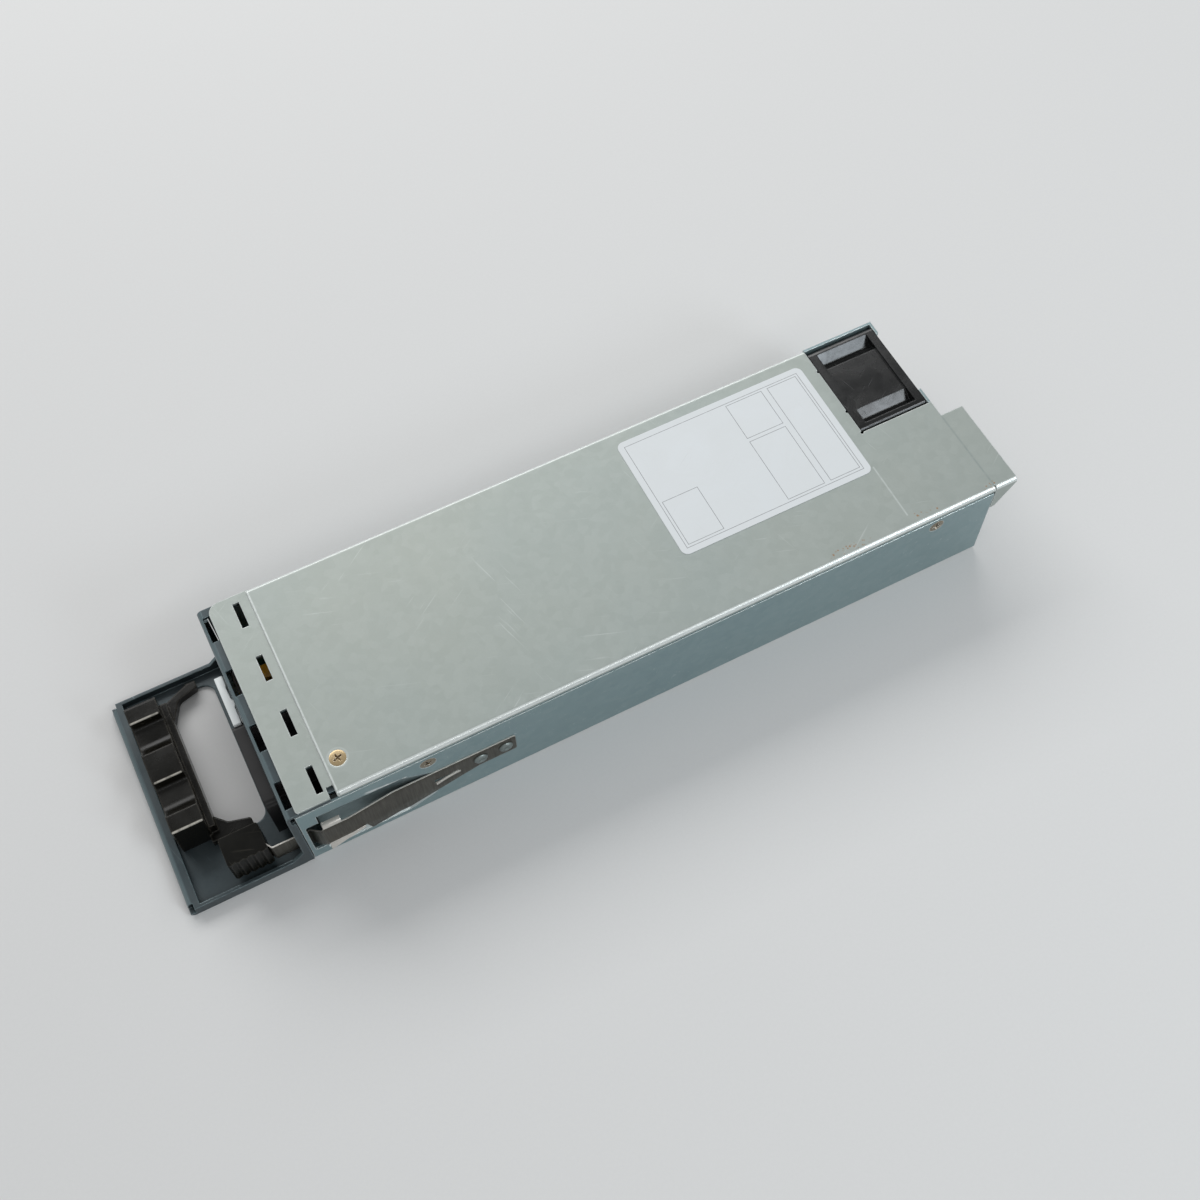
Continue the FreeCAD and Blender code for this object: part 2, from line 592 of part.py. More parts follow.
TURNS = {
    "+Z": FreeCAD.Rotation(),
    "-Z": FreeCAD.Rotation(FreeCAD.Vector(1, 0, 0), 180),
    "+X": FreeCAD.Rotation(FreeCAD.Vector(0, 1, 0), 90),
    "-X": FreeCAD.Rotation(FreeCAD.Vector(0, 1, 0), -90),
    "+Y": FreeCAD.Rotation(FreeCAD.Vector(1, 0, 0), -90),
    "-Y": FreeCAD.Rotation(FreeCAD.Vector(1, 0, 0), 90),
}


def place_at(piece, x, y, z, direction="+Z"):
    """Put a primitive at a bound point, its own Z along a direction."""
    piece.Placement = FreeCAD.Placement(FreeCAD.Vector(), TURNS[direction])
    piece.setExpression("Placement.Base.x", as_size(x).text)
    piece.setExpression("Placement.Base.y", as_size(y).text)
    piece.setExpression("Placement.Base.z", as_size(z).text)
    return piece


def box(label, x, y, z):
    """A block between the bounds (low, high) on each axis."""
    piece = doc.addObject("Part::Box", label)
    piece.setExpression("Length", (as_size(x[1]) - x[0]).text)
    piece.setExpression("Width", (as_size(y[1]) - y[0]).text)
    piece.setExpression("Height", (as_size(z[1]) - z[0]).text)
    return place_at(piece, x[0], y[0], z[0])


def rod(label, start, direction, length, radius):
    """A cylinder from a start point along a direction."""
    piece = doc.addObject("Part::Cylinder", label)
    piece.setExpression("Height", as_size(length).text)
    piece.setExpression("Radius", as_size(radius).text)
    return place_at(piece, *start, direction=direction)


def taper(label, start, direction, length, radius, end_radius):
    """A cone from a start point along a direction."""
    piece = doc.addObject("Part::Cone", label)
    piece.setExpression("Height", as_size(length).text)
    piece.setExpression("Radius1", as_size(radius).text)
    piece.setExpression("Radius2", as_size(end_radius).text)
    return place_at(piece, *start, direction=direction)


def fused(label, pieces):
    """Several solids joined into one."""
    piece = doc.addObject("Part::MultiFuse", label)
    piece.Shapes = pieces
    return piece


def trimmed(label, base, tools):
    """A solid with tools cut out of it."""
    tool = tools[0] if len(tools) == 1 else fused(label + "_tools", tools)
    piece = doc.addObject("Part::Cut", label)
    piece.Base = base
    piece.Tool = tool
    return piece


def grouped(label, pieces):
    """Separate identical solids in one node."""
    piece = doc.addObject("Part::Compound", label)
    piece.Links = pieces
    return piece


def keep(piece):
    """Register an object as a node of the part."""
    nodes.append(piece)
    return piece


# ---------------------------------------------------- shared positions

half = s.case_width / 2
wall_inside = half - s.steel
wall_top = s.case_height - s.cover_lip - s.steel - s.seat_gap * 3
skirt_face = wall_inside - s.seat_gap
skirt_inside = skirt_face - s.cover_sheet
cover_under = s.case_height - s.cover_sheet
strip_top = s.case_height - s.strip_step
strip_end = s.strip_start + s.strip_length
tongue_top = strip_top - s.cover_sheet - s.seat_gap / 2
tongue_under = tongue_top - s.bezel_sheet
end_inside = s.case_length - s.steel

fan_far = wall_inside - s.seat_gap
fan_near = fan_far - s.fan_size
fan_side = fan_near + s.fan_size / 2
fan_bottom = (s.case_height - s.fan_size) / 2
fan_high = s.case_height / 2
fan_end = end_inside - s.seat_gap / 2
fan_start = fan_end - s.fan_length
notch_start = fan_start - s.side_gap
notch_near = fan_near - s.side_gap
fan_hole_half = s.fan_hole_pitch / 2

finger_far_x = -s.finger_inset - s.finger_depth
finger_low = s.finger_middle - s.finger_width / 2
finger_high = s.finger_middle + s.finger_width / 2
tray_floor = s.bezel_sheet

leaf_face = -half - s.leaf_sheet
latch_slot_bottom = s.leaf_tail_bottom - s.latch_slot_over
latch_slot_top = s.leaf_tail_top + s.latch_slot_over
tail_face = -half + s.leaf_tail_depth
tail_travel = s.leaf_bend * math.pi / 180 * s.latch_swing

board_bottom = s.steel + s.board_rise
board_top = board_bottom + s.board_thick
board_far = wall_inside - s.board_margin
board_near = -skirt_inside + s.board_margin
recess_inside = -half + s.recess_deep + s.steel
sink_foot = board_top + s.seat_gap


# ------------------------------------------------------------ sheet metal

def recess_section(deep, top, bottom, draft, skin=None):
    """Cut of the latch recess across the case: mouth outside, floor inside."""
    if skin is None:
        outer = -half - s.cut_over
        grow = as_size(0)
    else:
        outer = -half
        grow = skin
    floor = -half + deep + grow
    return [
        (outer, bottom - grow), (floor, bottom + draft - grow),
        (floor, top - draft + grow), (outer, top + grow),
    ]


def recess_sections(skin=None):
    """The latch recess: deep behind the barbs, running out along the leaf."""
    narrow_top = s.leaf_top + s.recess_end_over
    narrow_bottom = s.anchor_bottom - s.recess_end_under
    return [
        (s.recess_start, recess_section(s.recess_deep, s.recess_top, s.recess_bottom,
                                        s.recess_draft, skin)),
        (s.recess_middle, recess_section(s.recess_shallow,
                                          s.recess_top - s.recess_middle_drop, s.recess_bottom,
                                         s.recess_draft / 2, skin)),
        (s.recess_end, recess_section(s.seat_gap, narrow_top, narrow_bottom,
                                      s.recess_draft / 4, skin)),
    ]


def side_screw_places(side):
    """Along-case positions of the side screws on the near (-1) or far (1) wall."""
    pitch = s.side_screw_pitch if side < 0 else s.side_screw_far_pitch
    return (s.side_screw_first, s.side_screw_first + pitch)


def build_chassis():
    """Floor, side walls and end wall, folded from one sheet."""
    base = Solid("base_chassis_sheet")
    inner_bend = s.case_bend - s.steel
    channel = [
        (-half, wall_top), (-half, 0, s.case_bend), (half, 0, s.case_bend), (half, wall_top),
        (wall_inside, wall_top), (wall_inside, s.steel, inner_bend),
        (-wall_inside, s.steel, inner_bend), (-wall_inside, wall_top),
    ]
    start = s.bezel_side + s.side_gap
    base.pad("YZ", start, s.case_length, channel)
    base.pad("YZ", notch_start, s.case_length,
             rectangle(wall_inside, half, s.case_bend, s.case_height))
    near_edge = -wall_inside + s.seat_gap * 2
    panel = [
        (-half, s.case_bend), (-half + s.case_bend, 0), (half - s.case_bend, 0), (half, s.case_bend),
        (half, s.case_height), (fan_far - s.fan_tab_far, s.case_height),
        (fan_far - s.fan_tab_far, s.case_bend, s.fan_mouth_corner),
        (fan_near + s.fan_tab_near, s.case_bend, s.fan_mouth_corner),
        (fan_near + s.fan_tab_near, s.case_height), (fan_near, s.case_height),
        (fan_near, cover_under - s.seat_gap), (near_edge, cover_under - s.seat_gap, s.cover_roll),
        (near_edge, wall_top), (-half, wall_top),
    ]
    base.pad("YZ", end_inside, s.case_length, panel)
    skin = base.loft("AdditiveLoft", "YZ", recess_sections(s.steel))
    base.loft("SubtractiveLoft", "YZ", recess_sections())
    base.cut("XZ", -half - s.cut_over, -wall_inside + s.recess_deep,
             rectangle(s.window_start, s.recess_start + s.seat_gap / 2, s.window_bottom, s.window_top,
                       s.window_corner))
    base.cut("XY", -s.cut_over, s.steel + s.case_bend,
             rectangle(notch_start, end_inside, notch_near, wall_inside))
    slot_low = board_bottom - s.side_gap * 3
    slot_high = board_top + s.side_gap * 3
    base.cut("YZ", end_inside - s.cut_over, s.case_length + s.cut_over,
             rectangle(-s.tongue_side - s.tongue_width / 2 - s.tongue_clear,
                       -s.tongue_side + s.tongue_width / 2 + s.tongue_clear, slot_low, slot_high,
                       s.slot_corner))
    base.cut("YZ", end_inside - s.cut_over, s.case_length + s.cut_over,
             circles=[(fan_side - fan_hole_half, fan_high - fan_hole_half, s.screw_shank + s.seat_gap),
                      (fan_side + fan_hole_half, fan_high - fan_hole_half, s.screw_shank + s.seat_gap)])
    rivet_holes = [(s.rivet_first + i * s.rivet_pitch, s.rivet_high, s.rivet_shank)
                   for i in range(2)]
    base.cut("XZ", -half - s.cut_over, -wall_inside + s.cut_over, circles=rivet_holes)
    return base


def countersinks(label):
    """Conical seats of the side screws, on both sides of the case."""
    seats = []
    for side, direction in ((-1, "+Y"), (1, "-Y")):
        for place in side_screw_places(side):
            start = (place, half * side, s.side_screw_high)
            seats.append(taper("%s_%d" % (label, len(seats)), start, direction,
                               half - skirt_face, s.screw_head + s.seat_gap / 2,
                               s.screw_shank + s.seat_gap))
    return seats


def finish_chassis():
    """The chassis with its countersunk screw seats."""
    base = build_chassis()
    keep(trimmed("base_chassis", base.body, countersinks("wall_seat")))


def build_cover():
    """Lid with rolled edges, rear vent strip, fan notch and connector hood."""
    cover = Solid("top_cover_sheet")
    joggle = half - skirt_face
    sheet = s.cover_sheet
    skirt_end = s.case_height - s.cover_skirt
    lip_low = s.case_height - s.cover_lip
    joggle_low = lip_low - joggle
    shift = sheet * MITRE
    inner_roll = s.cover_roll - sheet
    outer = [(-skirt_face, skirt_end), (-skirt_face, joggle_low), (-half, lip_low),
             (-half, s.case_height, s.cover_roll), (half, s.case_height, s.cover_roll),
             (half, lip_low), (skirt_face, joggle_low), (skirt_face, skirt_end)]
    inner = [(skirt_inside, skirt_end), (skirt_inside, joggle_low + shift),
             (half - sheet, lip_low + shift), (half - sheet, cover_under, inner_roll),
             (-half + sheet, cover_under, inner_roll), (-half + sheet, lip_low + shift),
             (-skirt_inside, joggle_low + shift), (-skirt_inside, skirt_end)]
    cover.pad("YZ", strip_end, s.case_length, outer + inner)
    strip_edge = half - s.seat_gap
    strip = [
        (s.strip_start, -strip_edge, s.strip_near_corner), (strip_end + sheet, -strip_edge),
        (strip_end + sheet, strip_edge), (s.strip_start, strip_edge, s.strip_far_corner),
    ]
    cover.pad("XY", strip_top - sheet, strip_top, strip)
    hood_edge = -half + s.hood_width
    cover.pad("XY", cover_under, s.case_height,
              rectangle(s.case_length - s.cut_over, s.case_length + s.hood_length,
                        -half + s.cover_roll, hood_edge))
    hood_bend = [(-half, lip_low), (-half, s.case_height, s.cover_roll),
                 (-half + s.cover_roll + s.cut_skin, s.case_height),
                 (-half + s.cover_roll + s.cut_skin, cover_under),
                 (-half + sheet, cover_under, inner_roll), (-half + sheet, lip_low)]
    hood_root = s.case_length + s.side_gap
    cover.pad("YZ", hood_root, s.case_length + s.hood_length, hood_bend)
    gusset = [(hood_root, lip_low + s.gusset_gap), (s.case_length + s.hood_length, lip_low + s.gusset_gap),
              (hood_root + s.gusset_toe, s.case_height - s.gusset_drop),
              (hood_root, s.case_height - s.gusset_drop)]
    cover.pad("XZ", -half, -half + sheet, gusset)
    cover.cut("XY", wall_top - s.cover_skirt, s.case_height + s.cut_over,
              rectangle(notch_start, s.case_length + s.cut_over, notch_near, half + s.cut_over),
              circles=())
    nick_places = (fan_side - s.fan_size / 4, fan_side + s.fan_size / 4, notch_near)
    cover.cut("XY", cover_under - s.cut_over, s.case_height + s.cut_over,
              circles=[(notch_start, place, s.nick_radius) for place in nick_places])
    cover.cut("YZ", end_inside - s.side_gap, s.case_length + 0.01,
              rectangle(-half - s.cut_over, -skirt_inside + 0.1, skirt_end - s.cut_over, lip_low))
    relief_end = strip_end - s.gusset_gap
    cover.cut("XY", strip_top - sheet - s.cut_over, s.case_height + s.cut_over,
              rectangle(relief_end - s.relief_wide, relief_end, -half - s.cut_over,
                        -half + s.relief_deep))
    slot_start = s.strip_start + s.slot_inset
    slots = [rectangle(slot_start, slot_start + s.slot_wide,
                       slot_middle(i) - s.slot_long / 2, slot_middle(i) + s.slot_long / 2)
             for i in range(4)]
    cover.cut("XY", strip_top - sheet - s.cut_over, s.case_height + s.cut_over, *slots)
    cover.cut("XZ", -half - s.cut_over, -skirt_inside + s.cut_over,
              rectangle(strip_end - s.cut_over, s.recess_end - s.skirt_relief, skirt_end - s.cut_over,
                        s.recess_top + s.steel + s.side_gap))
    for side, low, high in ((-1, -half - s.cut_over, 0), (1, 0, half + s.cut_over)):
        drill = [(place, s.side_screw_high, s.screw_shank + s.seat_gap)
                 for place in side_screw_places(side)]
        cover.cut("XZ", low, high, circles=drill)
    seat = taper("top_seat", (s.top_screw_inset, -s.top_screw_side, s.case_height), "-Z",
                 s.case_height - tongue_top, s.screw_head + s.seat_gap / 2,
                 s.screw_shank + s.seat_gap)
    keep(trimmed("top_cover", cover.body, [seat]))


def slot_middle(index):
    """Middle of a vent slot across the case."""
    return s.slot_pitch * (1.5 - index)


def build_bezel():
    """Painted rear panel, its top flange and the handle tray, folded from one sheet."""
    bezel = Solid("rear_bezel")
    sheet = s.bezel_sheet
    inner = s.bezel_bend - sheet
    lip_end = -s.tray_length + s.tray_lip
    run = [
        (lip_end, s.tray_rim), (-s.tray_length, s.tray_rim, s.bezel_bend),
        (-s.tray_length, 0, s.bezel_bend), (sheet, 0, s.bezel_bend),
        (sheet, tongue_under, inner), (s.bezel_tongue, tongue_under),
        (s.bezel_tongue, tongue_top), (0, tongue_top, s.bezel_bend), (0, sheet, inner),
        (-s.tray_length + sheet, sheet, inner), (-s.tray_length + sheet, s.tray_rim - sheet, inner),
        (lip_end, s.tray_rim - sheet),
    ]
    bezel.pad("XZ", -half, half, run)
    rim_end = -s.tray_length + s.bezel_bend
    side = [(rim_end, s.side_gap), (s.bezel_side, s.side_gap), (s.bezel_side, s.bezel_side_top),
            (s.side_gap, s.bezel_side_top),
            (s.side_gap, s.tray_rim + s.bezel_side_root, s.bezel_side_bend),
            (-s.bezel_side_root, s.tray_rim),
            (rim_end, s.tray_rim)]
    bezel.pad("XZ", -half, -half + sheet, side)
    bezel.pad("XZ", half - sheet, half, side)
    for low, high in ((-half - s.cut_over, -half + s.lip_short),
                      (half - s.lip_short, half + s.cut_over)):
        bezel.cut("XY", sheet + s.cut_skin, s.tray_rim + s.cut_over,
                  rectangle(-s.tray_length - s.cut_over, rim_end, low, high))
    tongue_edge = skirt_inside - s.side_gap
    for low, high in ((-half - s.cut_over, -tongue_edge), (tongue_edge, half + s.cut_over)):
        bezel.cut("XY", tongue_under - s.cut_skin, tongue_top + s.cut_over,
                  rectangle(strip_end - s.tongue_shoulder, s.bezel_tongue + s.cut_over, low, high))
    bezel.cut("XY", -s.cut_over, sheet + s.cut_skin,
              rectangle(finger_far_x, -s.finger_inset, finger_low, finger_high, s.finger_corner))
    slot_start = sheet
    slot_end = s.strip_start + s.slot_inset + s.slot_wide + s.cut_skin
    slots = [rectangle(slot_start, slot_end, slot_middle(i) - s.slot_long / 2,
                       slot_middle(i) + s.slot_long / 2) for i in range(4)]
    bezel.cut("XY", tongue_under - s.cut_skin, tongue_top + s.cut_over, *slots)
    cut_inlet_and_latch(bezel)
    cut_rear_vents(bezel)
    bezel.cut("XY", tongue_under - s.cut_skin, tongue_top + s.cut_over,
              circles=[(s.top_screw_inset, -s.top_screw_side, s.screw_shank + s.seat_gap)])
    bezel.keep()


def cut_inlet_and_latch(bezel):
    """Openings of the rear panel for the inlet, the light guide and the leaf."""
    fit = s.seat_gap
    half_width = s.inlet_body_width / 2 + fit
    half_height = s.inlet_body_height / 2 + fit
    inlet = rectangle(-s.inlet_side - half_width, -s.inlet_side + half_width,
                      s.inlet_high - half_height, s.inlet_high + half_height)
    guide = rectangle(guide_near() - fit, guide_near() + s.guide_length + fit,
                      guide_low() - fit, guide_low() + s.guide_height + fit)
    leaf = rectangle(tail_face - s.leaf_sheet - s.slot_corner, tail_face + tail_travel + s.cut_over,
                     latch_slot_bottom, latch_slot_top, s.slot_corner)
    bezel.cut("YZ", -s.cut_skin, s.bezel_sheet + s.cut_skin, inlet, guide, leaf)


def guide_near():
    """Near end of the light guide across."""
    return -s.inlet_side + s.inlet_width / 2 + s.side_gap


def guide_low():
    """Lower face of the light guide."""
    return s.inlet_high + s.inlet_height / 2 - s.guide_height


def cut_rear_vents(bezel):
    """Rows of six-sided air holes beside the inlet."""
    corner = s.vent_hex / math.cos(math.pi / 6)
    columns = 6
    rows = 4
    first = guide_near() + s.vent_pitch / 2 + s.vent_shift
    outlines = []
    for row in range(rows):
        shift = s.vent_pitch / 2 * (row % 2)
        for column in range(columns):
            y = first + column * s.vent_pitch + shift
            z = guide_low() - s.vent_drop - row * s.vent_pitch * math.sin(math.pi / 3)
            outlines.append([(y + corner * math.cos(math.pi / 6 + k * math.pi / 3),
                              z + corner * math.sin(math.pi / 6 + k * math.pi / 3))
                             for k in range(6)])
    bezel.cut("YZ", -s.cut_skin, s.bezel_sheet + s.cut_skin, *outlines)


# ----------------------------------------------------------------- handle

def build_grip():
    """Moulded grip: a bar with two finger scallops and two low arms."""
    bar_outer = finger_far_x - s.grip_ledge * s.ledge_lap - s.grip_width
    bar_inner = bar_outer + s.grip_width
    top = tray_floor + s.grip_height
    bar = Solid("grip_bar")
    near, far = -s.grip_near, s.grip_far
    bar.pad("YZ", bar_outer, bar_inner, grip_contour(near, far, top))
    bar.pad("YZ", bar_inner, bar_inner + s.grip_ledge,
            [(near - s.grip_draft, tray_floor), (far + s.grip_draft, tray_floor),
             (far, tray_floor + s.ledge_height),
             (near, tray_floor + s.ledge_height)])
    arm_top = tray_floor + s.grip_arm_height
    reach = bar_inner + s.grip_reach
    inside = bar_inner - s.arm_overlap
    root = bar_inner + s.arm_root
    far_arm = [(inside, far + s.grip_draft), (reach - s.arm_nose, finger_high + s.arm_over),
               (reach, finger_high + s.arm_over), (reach, finger_high - s.arm_tip, s.arm_overlap),
               (root, finger_high - s.grip_arm, s.arm_bend),
               (bar_inner + s.grip_ledge, far - s.arm_root), (inside, far - s.arm_root)]
    near_foot = near + s.arm_root - s.arm_overlap
    near_arm = [(inside, near_foot), (bar_inner + s.grip_ledge, near_foot),
                (root, finger_low + s.grip_arm, s.arm_bend),
                (reach, finger_low + s.arm_tip, s.arm_overlap),
                (reach, finger_low - s.arm_over), (inside, finger_low - s.arm_over)]
    bar.pad("XY", tray_floor, arm_top, far_arm)
    bar.pad("XY", tray_floor, arm_top, near_arm)
    bar.body.Label = "handle_grip"
    bar.keep()


def grip_contour(near, far, top):
    """Top line of the bar along the case's width."""
    low = top - s.scallop_deep
    bend = s.scallop_deep * s.scallop_bend
    middle_near = far - s.grip_pad - s.grip_scallop
    middle_pad = s.grip_near + s.grip_far - 2 * (s.grip_pad + s.grip_scallop)
    return [
        (near - s.grip_corner, tray_floor), (far + s.grip_corner, tray_floor), (far, top, s.grip_corner),
        (far - s.grip_pad, top), (far - s.grip_pad - s.scallop_wall, low, bend / 3),
        (middle_near + s.scallop_ramp, low, bend), (middle_near, top), (middle_near - middle_pad, top),
        (middle_near - middle_pad - s.scallop_wall, low, bend / 3),
        (near + s.grip_pad + s.scallop_ramp, low, bend), (near + s.grip_pad, top),
        (near, top, s.grip_corner / 2),
    ]


# ------------------------------------------------------------------ latch

def leaf_path():
    """Bends of the leaf's outer face, from the bend line to the tab."""
    bow_face = leaf_face - s.leaf_bow
    barb_end = s.barb_start + s.barb_length
    tab_entry = -s.tab_inset + s.hook_entry
    hook = tail_face + s.hook_depth
    return [
        (s.leaf_bend, leaf_face + s.leaf_sheet / 2),
        (s.leaf_bend - s.leaf_flat, leaf_face + s.leaf_sheet / 2, s.flat_radius),
        (barb_end - s.bow_run, bow_face + s.leaf_sheet / 2, s.bow_radius),
        (s.barb_start - s.barb_setback, bow_face + s.leaf_sheet / 2, s.leaf_radius),
        (s.window_start + s.window_lead, tail_face - s.leaf_sheet, s.leaf_radius),
        (s.window_start - s.tail_lead, tail_face, s.leaf_radius),
        (tab_entry, tail_face, s.leaf_radius / 2),
        (tab_entry - s.hook_length, hook, s.leaf_radius / 2),
        (-s.tab_inset - s.tab_length + s.leaf_stop_short, hook),
    ]


def build_leaf():
    """The moving stretch of the latch spring, swept along its bends."""
    leaf = Solid("latch_leaf")
    path = leaf.sketch("XY", 0, [leaf_path()], closed=False)
    thick = s.leaf_sheet / 2
    middle = leaf_face + thick
    profile = leaf.sketch("YZ", s.leaf_bend,
                          [rectangle(middle - thick, middle + thick, 0, s.leaf_top)])
    pipe = leaf.feature("AdditivePipe", profile)
    pipe.Spine = (path, [])
    pipe.Transition = "Right corner"
    pipe.Mode = "Standard"
    barb_end = s.barb_start + s.barb_length
    tail = s.window_start - s.tail_shoulder
    under = [
        (-s.tab_inset - s.tab_length, -s.cut_over), (s.leaf_bend + s.cut_over, -s.cut_over),
        (s.leaf_bend + s.cut_over, s.anchor_bottom - s.anchor_slant),
        (s.leaf_bend, s.anchor_bottom - s.anchor_slant),
        (s.recess_middle, s.leaf_bottom), (barb_end, s.leaf_bottom),
        (barb_end - s.barb_notch, s.barb_root), (s.barb_start, s.barb_root - s.barb_rise),
        (s.window_start + s.tail_slant, s.leaf_tail_bottom),
        (-s.tab_inset - s.tab_length, s.leaf_tail_bottom),
    ]
    over = [
        (-s.tab_inset - s.tab_length, s.leaf_tail_top), (tail, s.leaf_tail_top),
        (s.barb_start - s.cut_over, s.leaf_top - s.shoulder_drop), (s.barb_start, s.leaf_top + s.cut_over),
        (-s.tab_inset - s.tab_length, s.leaf_top + s.cut_over),
    ]
    leaf.cut("XZ", -half - 8.0, 0, under, over)
    bow_face = leaf_face - s.leaf_bow
    drop = s.barb_drop
    root = s.barb_root

    def flare(face, reach):
        """Slanted flange bent out of the leaf's lower edge."""
        return [(face, root), (face + s.leaf_sheet, root), (face + s.leaf_sheet, root - s.barb_rise),
                (face + s.leaf_sheet - reach, root - s.barb_rise - reach), (face - reach, root - reach)]

    leaf.loft("AdditiveLoft", "YZ", [
        (s.barb_start, flare(bow_face, drop)),
        (barb_end - s.bow_run, flare(bow_face, drop * s.barb_fade)),
    ])
    fold = [(bow_face, s.leaf_top - s.cut_skin), (bow_face, s.leaf_top + s.stop_rise, s.leaf_radius),
            (bow_face + s.stop_reach, s.leaf_top + s.stop_rise),
            (bow_face + s.stop_reach, s.leaf_top + s.stop_rise - s.leaf_sheet),
            (bow_face + s.leaf_sheet, s.leaf_top + s.stop_rise - s.leaf_sheet, s.leaf_radius - s.leaf_sheet),
            (bow_face + s.leaf_sheet, s.leaf_top - s.cut_skin)]
    leaf.pad("YZ", s.barb_start, s.barb_start + s.stop_length, fold)
    leaf.keep()


def build_leaf_anchor():
    """The riveted stretch of the latch spring, flat on the side wall."""
    anchor = Solid("latch_leaf_anchor")
    start = s.leaf_bend + s.seat_gap / 2
    slot_middle_z = (s.anchor_top + s.anchor_bottom) / 2 - s.leaf_slot_low
    sheet = [(start, s.anchor_bottom - s.anchor_slant),
             (s.anchor_taper - s.bow_run, s.anchor_bottom - s.barb_notch),
             (s.anchor_taper, s.anchor_bottom), (s.leaf_end, s.anchor_bottom, s.anchor_corner),
             (s.leaf_end, s.anchor_top, s.anchor_corner), (start, s.leaf_top)]
    anchor.pad("XZ", leaf_face, -half, sheet)
    anchor.cut("XZ", leaf_face - s.cut_skin, -half + s.cut_skin,
               rectangle(start + s.leaf_slot_start, start + s.leaf_slot_start + s.leaf_slot_long,
                         slot_middle_z - s.leaf_slot_half, slot_middle_z + s.leaf_slot_half,
                         s.leaf_slot_half - s.seat_gap))
    anchor.cut("XZ", leaf_face - s.cut_skin, -half + s.cut_skin,
               circles=[(s.rivet_first + i * s.rivet_pitch, s.rivet_high, s.rivet_shank)
                        for i in range(2)])
    anchor.keep()


def build_thumb_tab():
    """Ribbed black tab moulded round the leaf's hooked end."""
    tab = Solid("latch_thumb_tab")
    right = -s.tab_inset
    left = right - s.tab_length
    near = tail_face - s.leaf_sheet / 2 - s.tab_proud
    far = near + s.tab_depth
    top = s.tab_bottom + s.tab_height
    waves = 5
    pitch = s.tab_length / waves
    corners = [(left, far, s.tab_corner), (left, near + s.tab_rib)]
    for i in range(waves):
        corners.append((left + (i + 0.35) * pitch, near))
        corners.append((left + (i + 0.95) * pitch, near + s.tab_rib * 0.9))
    corners[-1] = (right, near + s.tab_rib)
    corners.append((right, far, s.tab_corner))
    tab.pad("XY", s.tab_bottom, top, corners)
    hook = tail_face + s.hook_depth
    fit = s.leaf_sheet / 2 + s.seat_gap
    slope = s.hook_depth / s.hook_length
    slant = fit * 1.86
    entry = right + s.cut_skin
    blind = left + s.leaf_stop_short - s.seat_gap
    entry_y = tail_face + (right + s.hook_entry - entry) * slope
    pocket = [
        (entry, entry_y - slant), (entry, entry_y + slant),
        (right + s.hook_entry - (s.hook_depth + fit - slant) / slope, hook + fit),
        (blind, hook + fit), (blind, hook - fit),
        (right + s.hook_entry - (s.hook_depth - fit + slant) / slope, hook - fit),
    ]
    tab.cut("XY", s.leaf_tail_bottom - s.seat_gap / 2, s.leaf_tail_top + s.seat_gap / 2, pocket)
    tab.keep()


def build_rivets():
    """Two rivets: head outside on the leaf, tail inside on the wall."""
    pieces = []
    for i in range(2):
        place = s.rivet_first + i * s.rivet_pitch
        head = Solid("rivet_%d" % i)
        length = s.leaf_sheet + s.steel
        outline = [
            (0, s.rivet_dome), (s.rivet_head * 0.55, s.rivet_dome), (s.rivet_head, s.rivet_rim),
            (s.rivet_head, 0), (s.rivet_shank, 0), (s.rivet_shank, -length),
            (s.rivet_head * 0.85, -length), (s.rivet_head * 0.7, -length - s.rivet_tail),
            (0, -length - s.rivet_tail),
        ]
        head.revolve("XZ", outline)
        place_at(head.body, place, leaf_face, s.rivet_high, "-Y")
        pieces.append(head.body)
    keep(grouped("latch_rivets", pieces))


# ----------------------------------------------------------------- screws

def countersunk_screw(label, start, direction):
    """Flat-head screw whose head ends flush at the start point."""
    head = taper(label + "_head", start, direction, half - skirt_face, s.screw_head, s.screw_shank)
    shank = rod(label + "_shank", start, direction, s.screw_length, s.screw_shank)
    return fused(label, [head, shank])


def build_cover_screws():
    """Side screws on both walls and the single screw in the top."""
    for side, direction, label in ((-1, "+Y", "near_side_screws"), (1, "-Y", "far_side_screws")):
        screws = [countersunk_screw("%s_%d" % (label, i), (place, half * side, s.side_screw_high),
                                    direction) for i, place in enumerate(side_screw_places(side))]
        keep(grouped(label, screws))
    start = (s.top_screw_inset, -s.top_screw_side, s.case_height)
    keep(countersunk_screw("top_cover_screw", start, "-Z"))


# -------------------------------------------------------------------- fan

def around_fan(corners):
    """Move corners given from the fan's axis to the case's own axes."""
    return [(fan_side + c[0], fan_high + c[1]) + tuple(c[2:]) for c in corners]


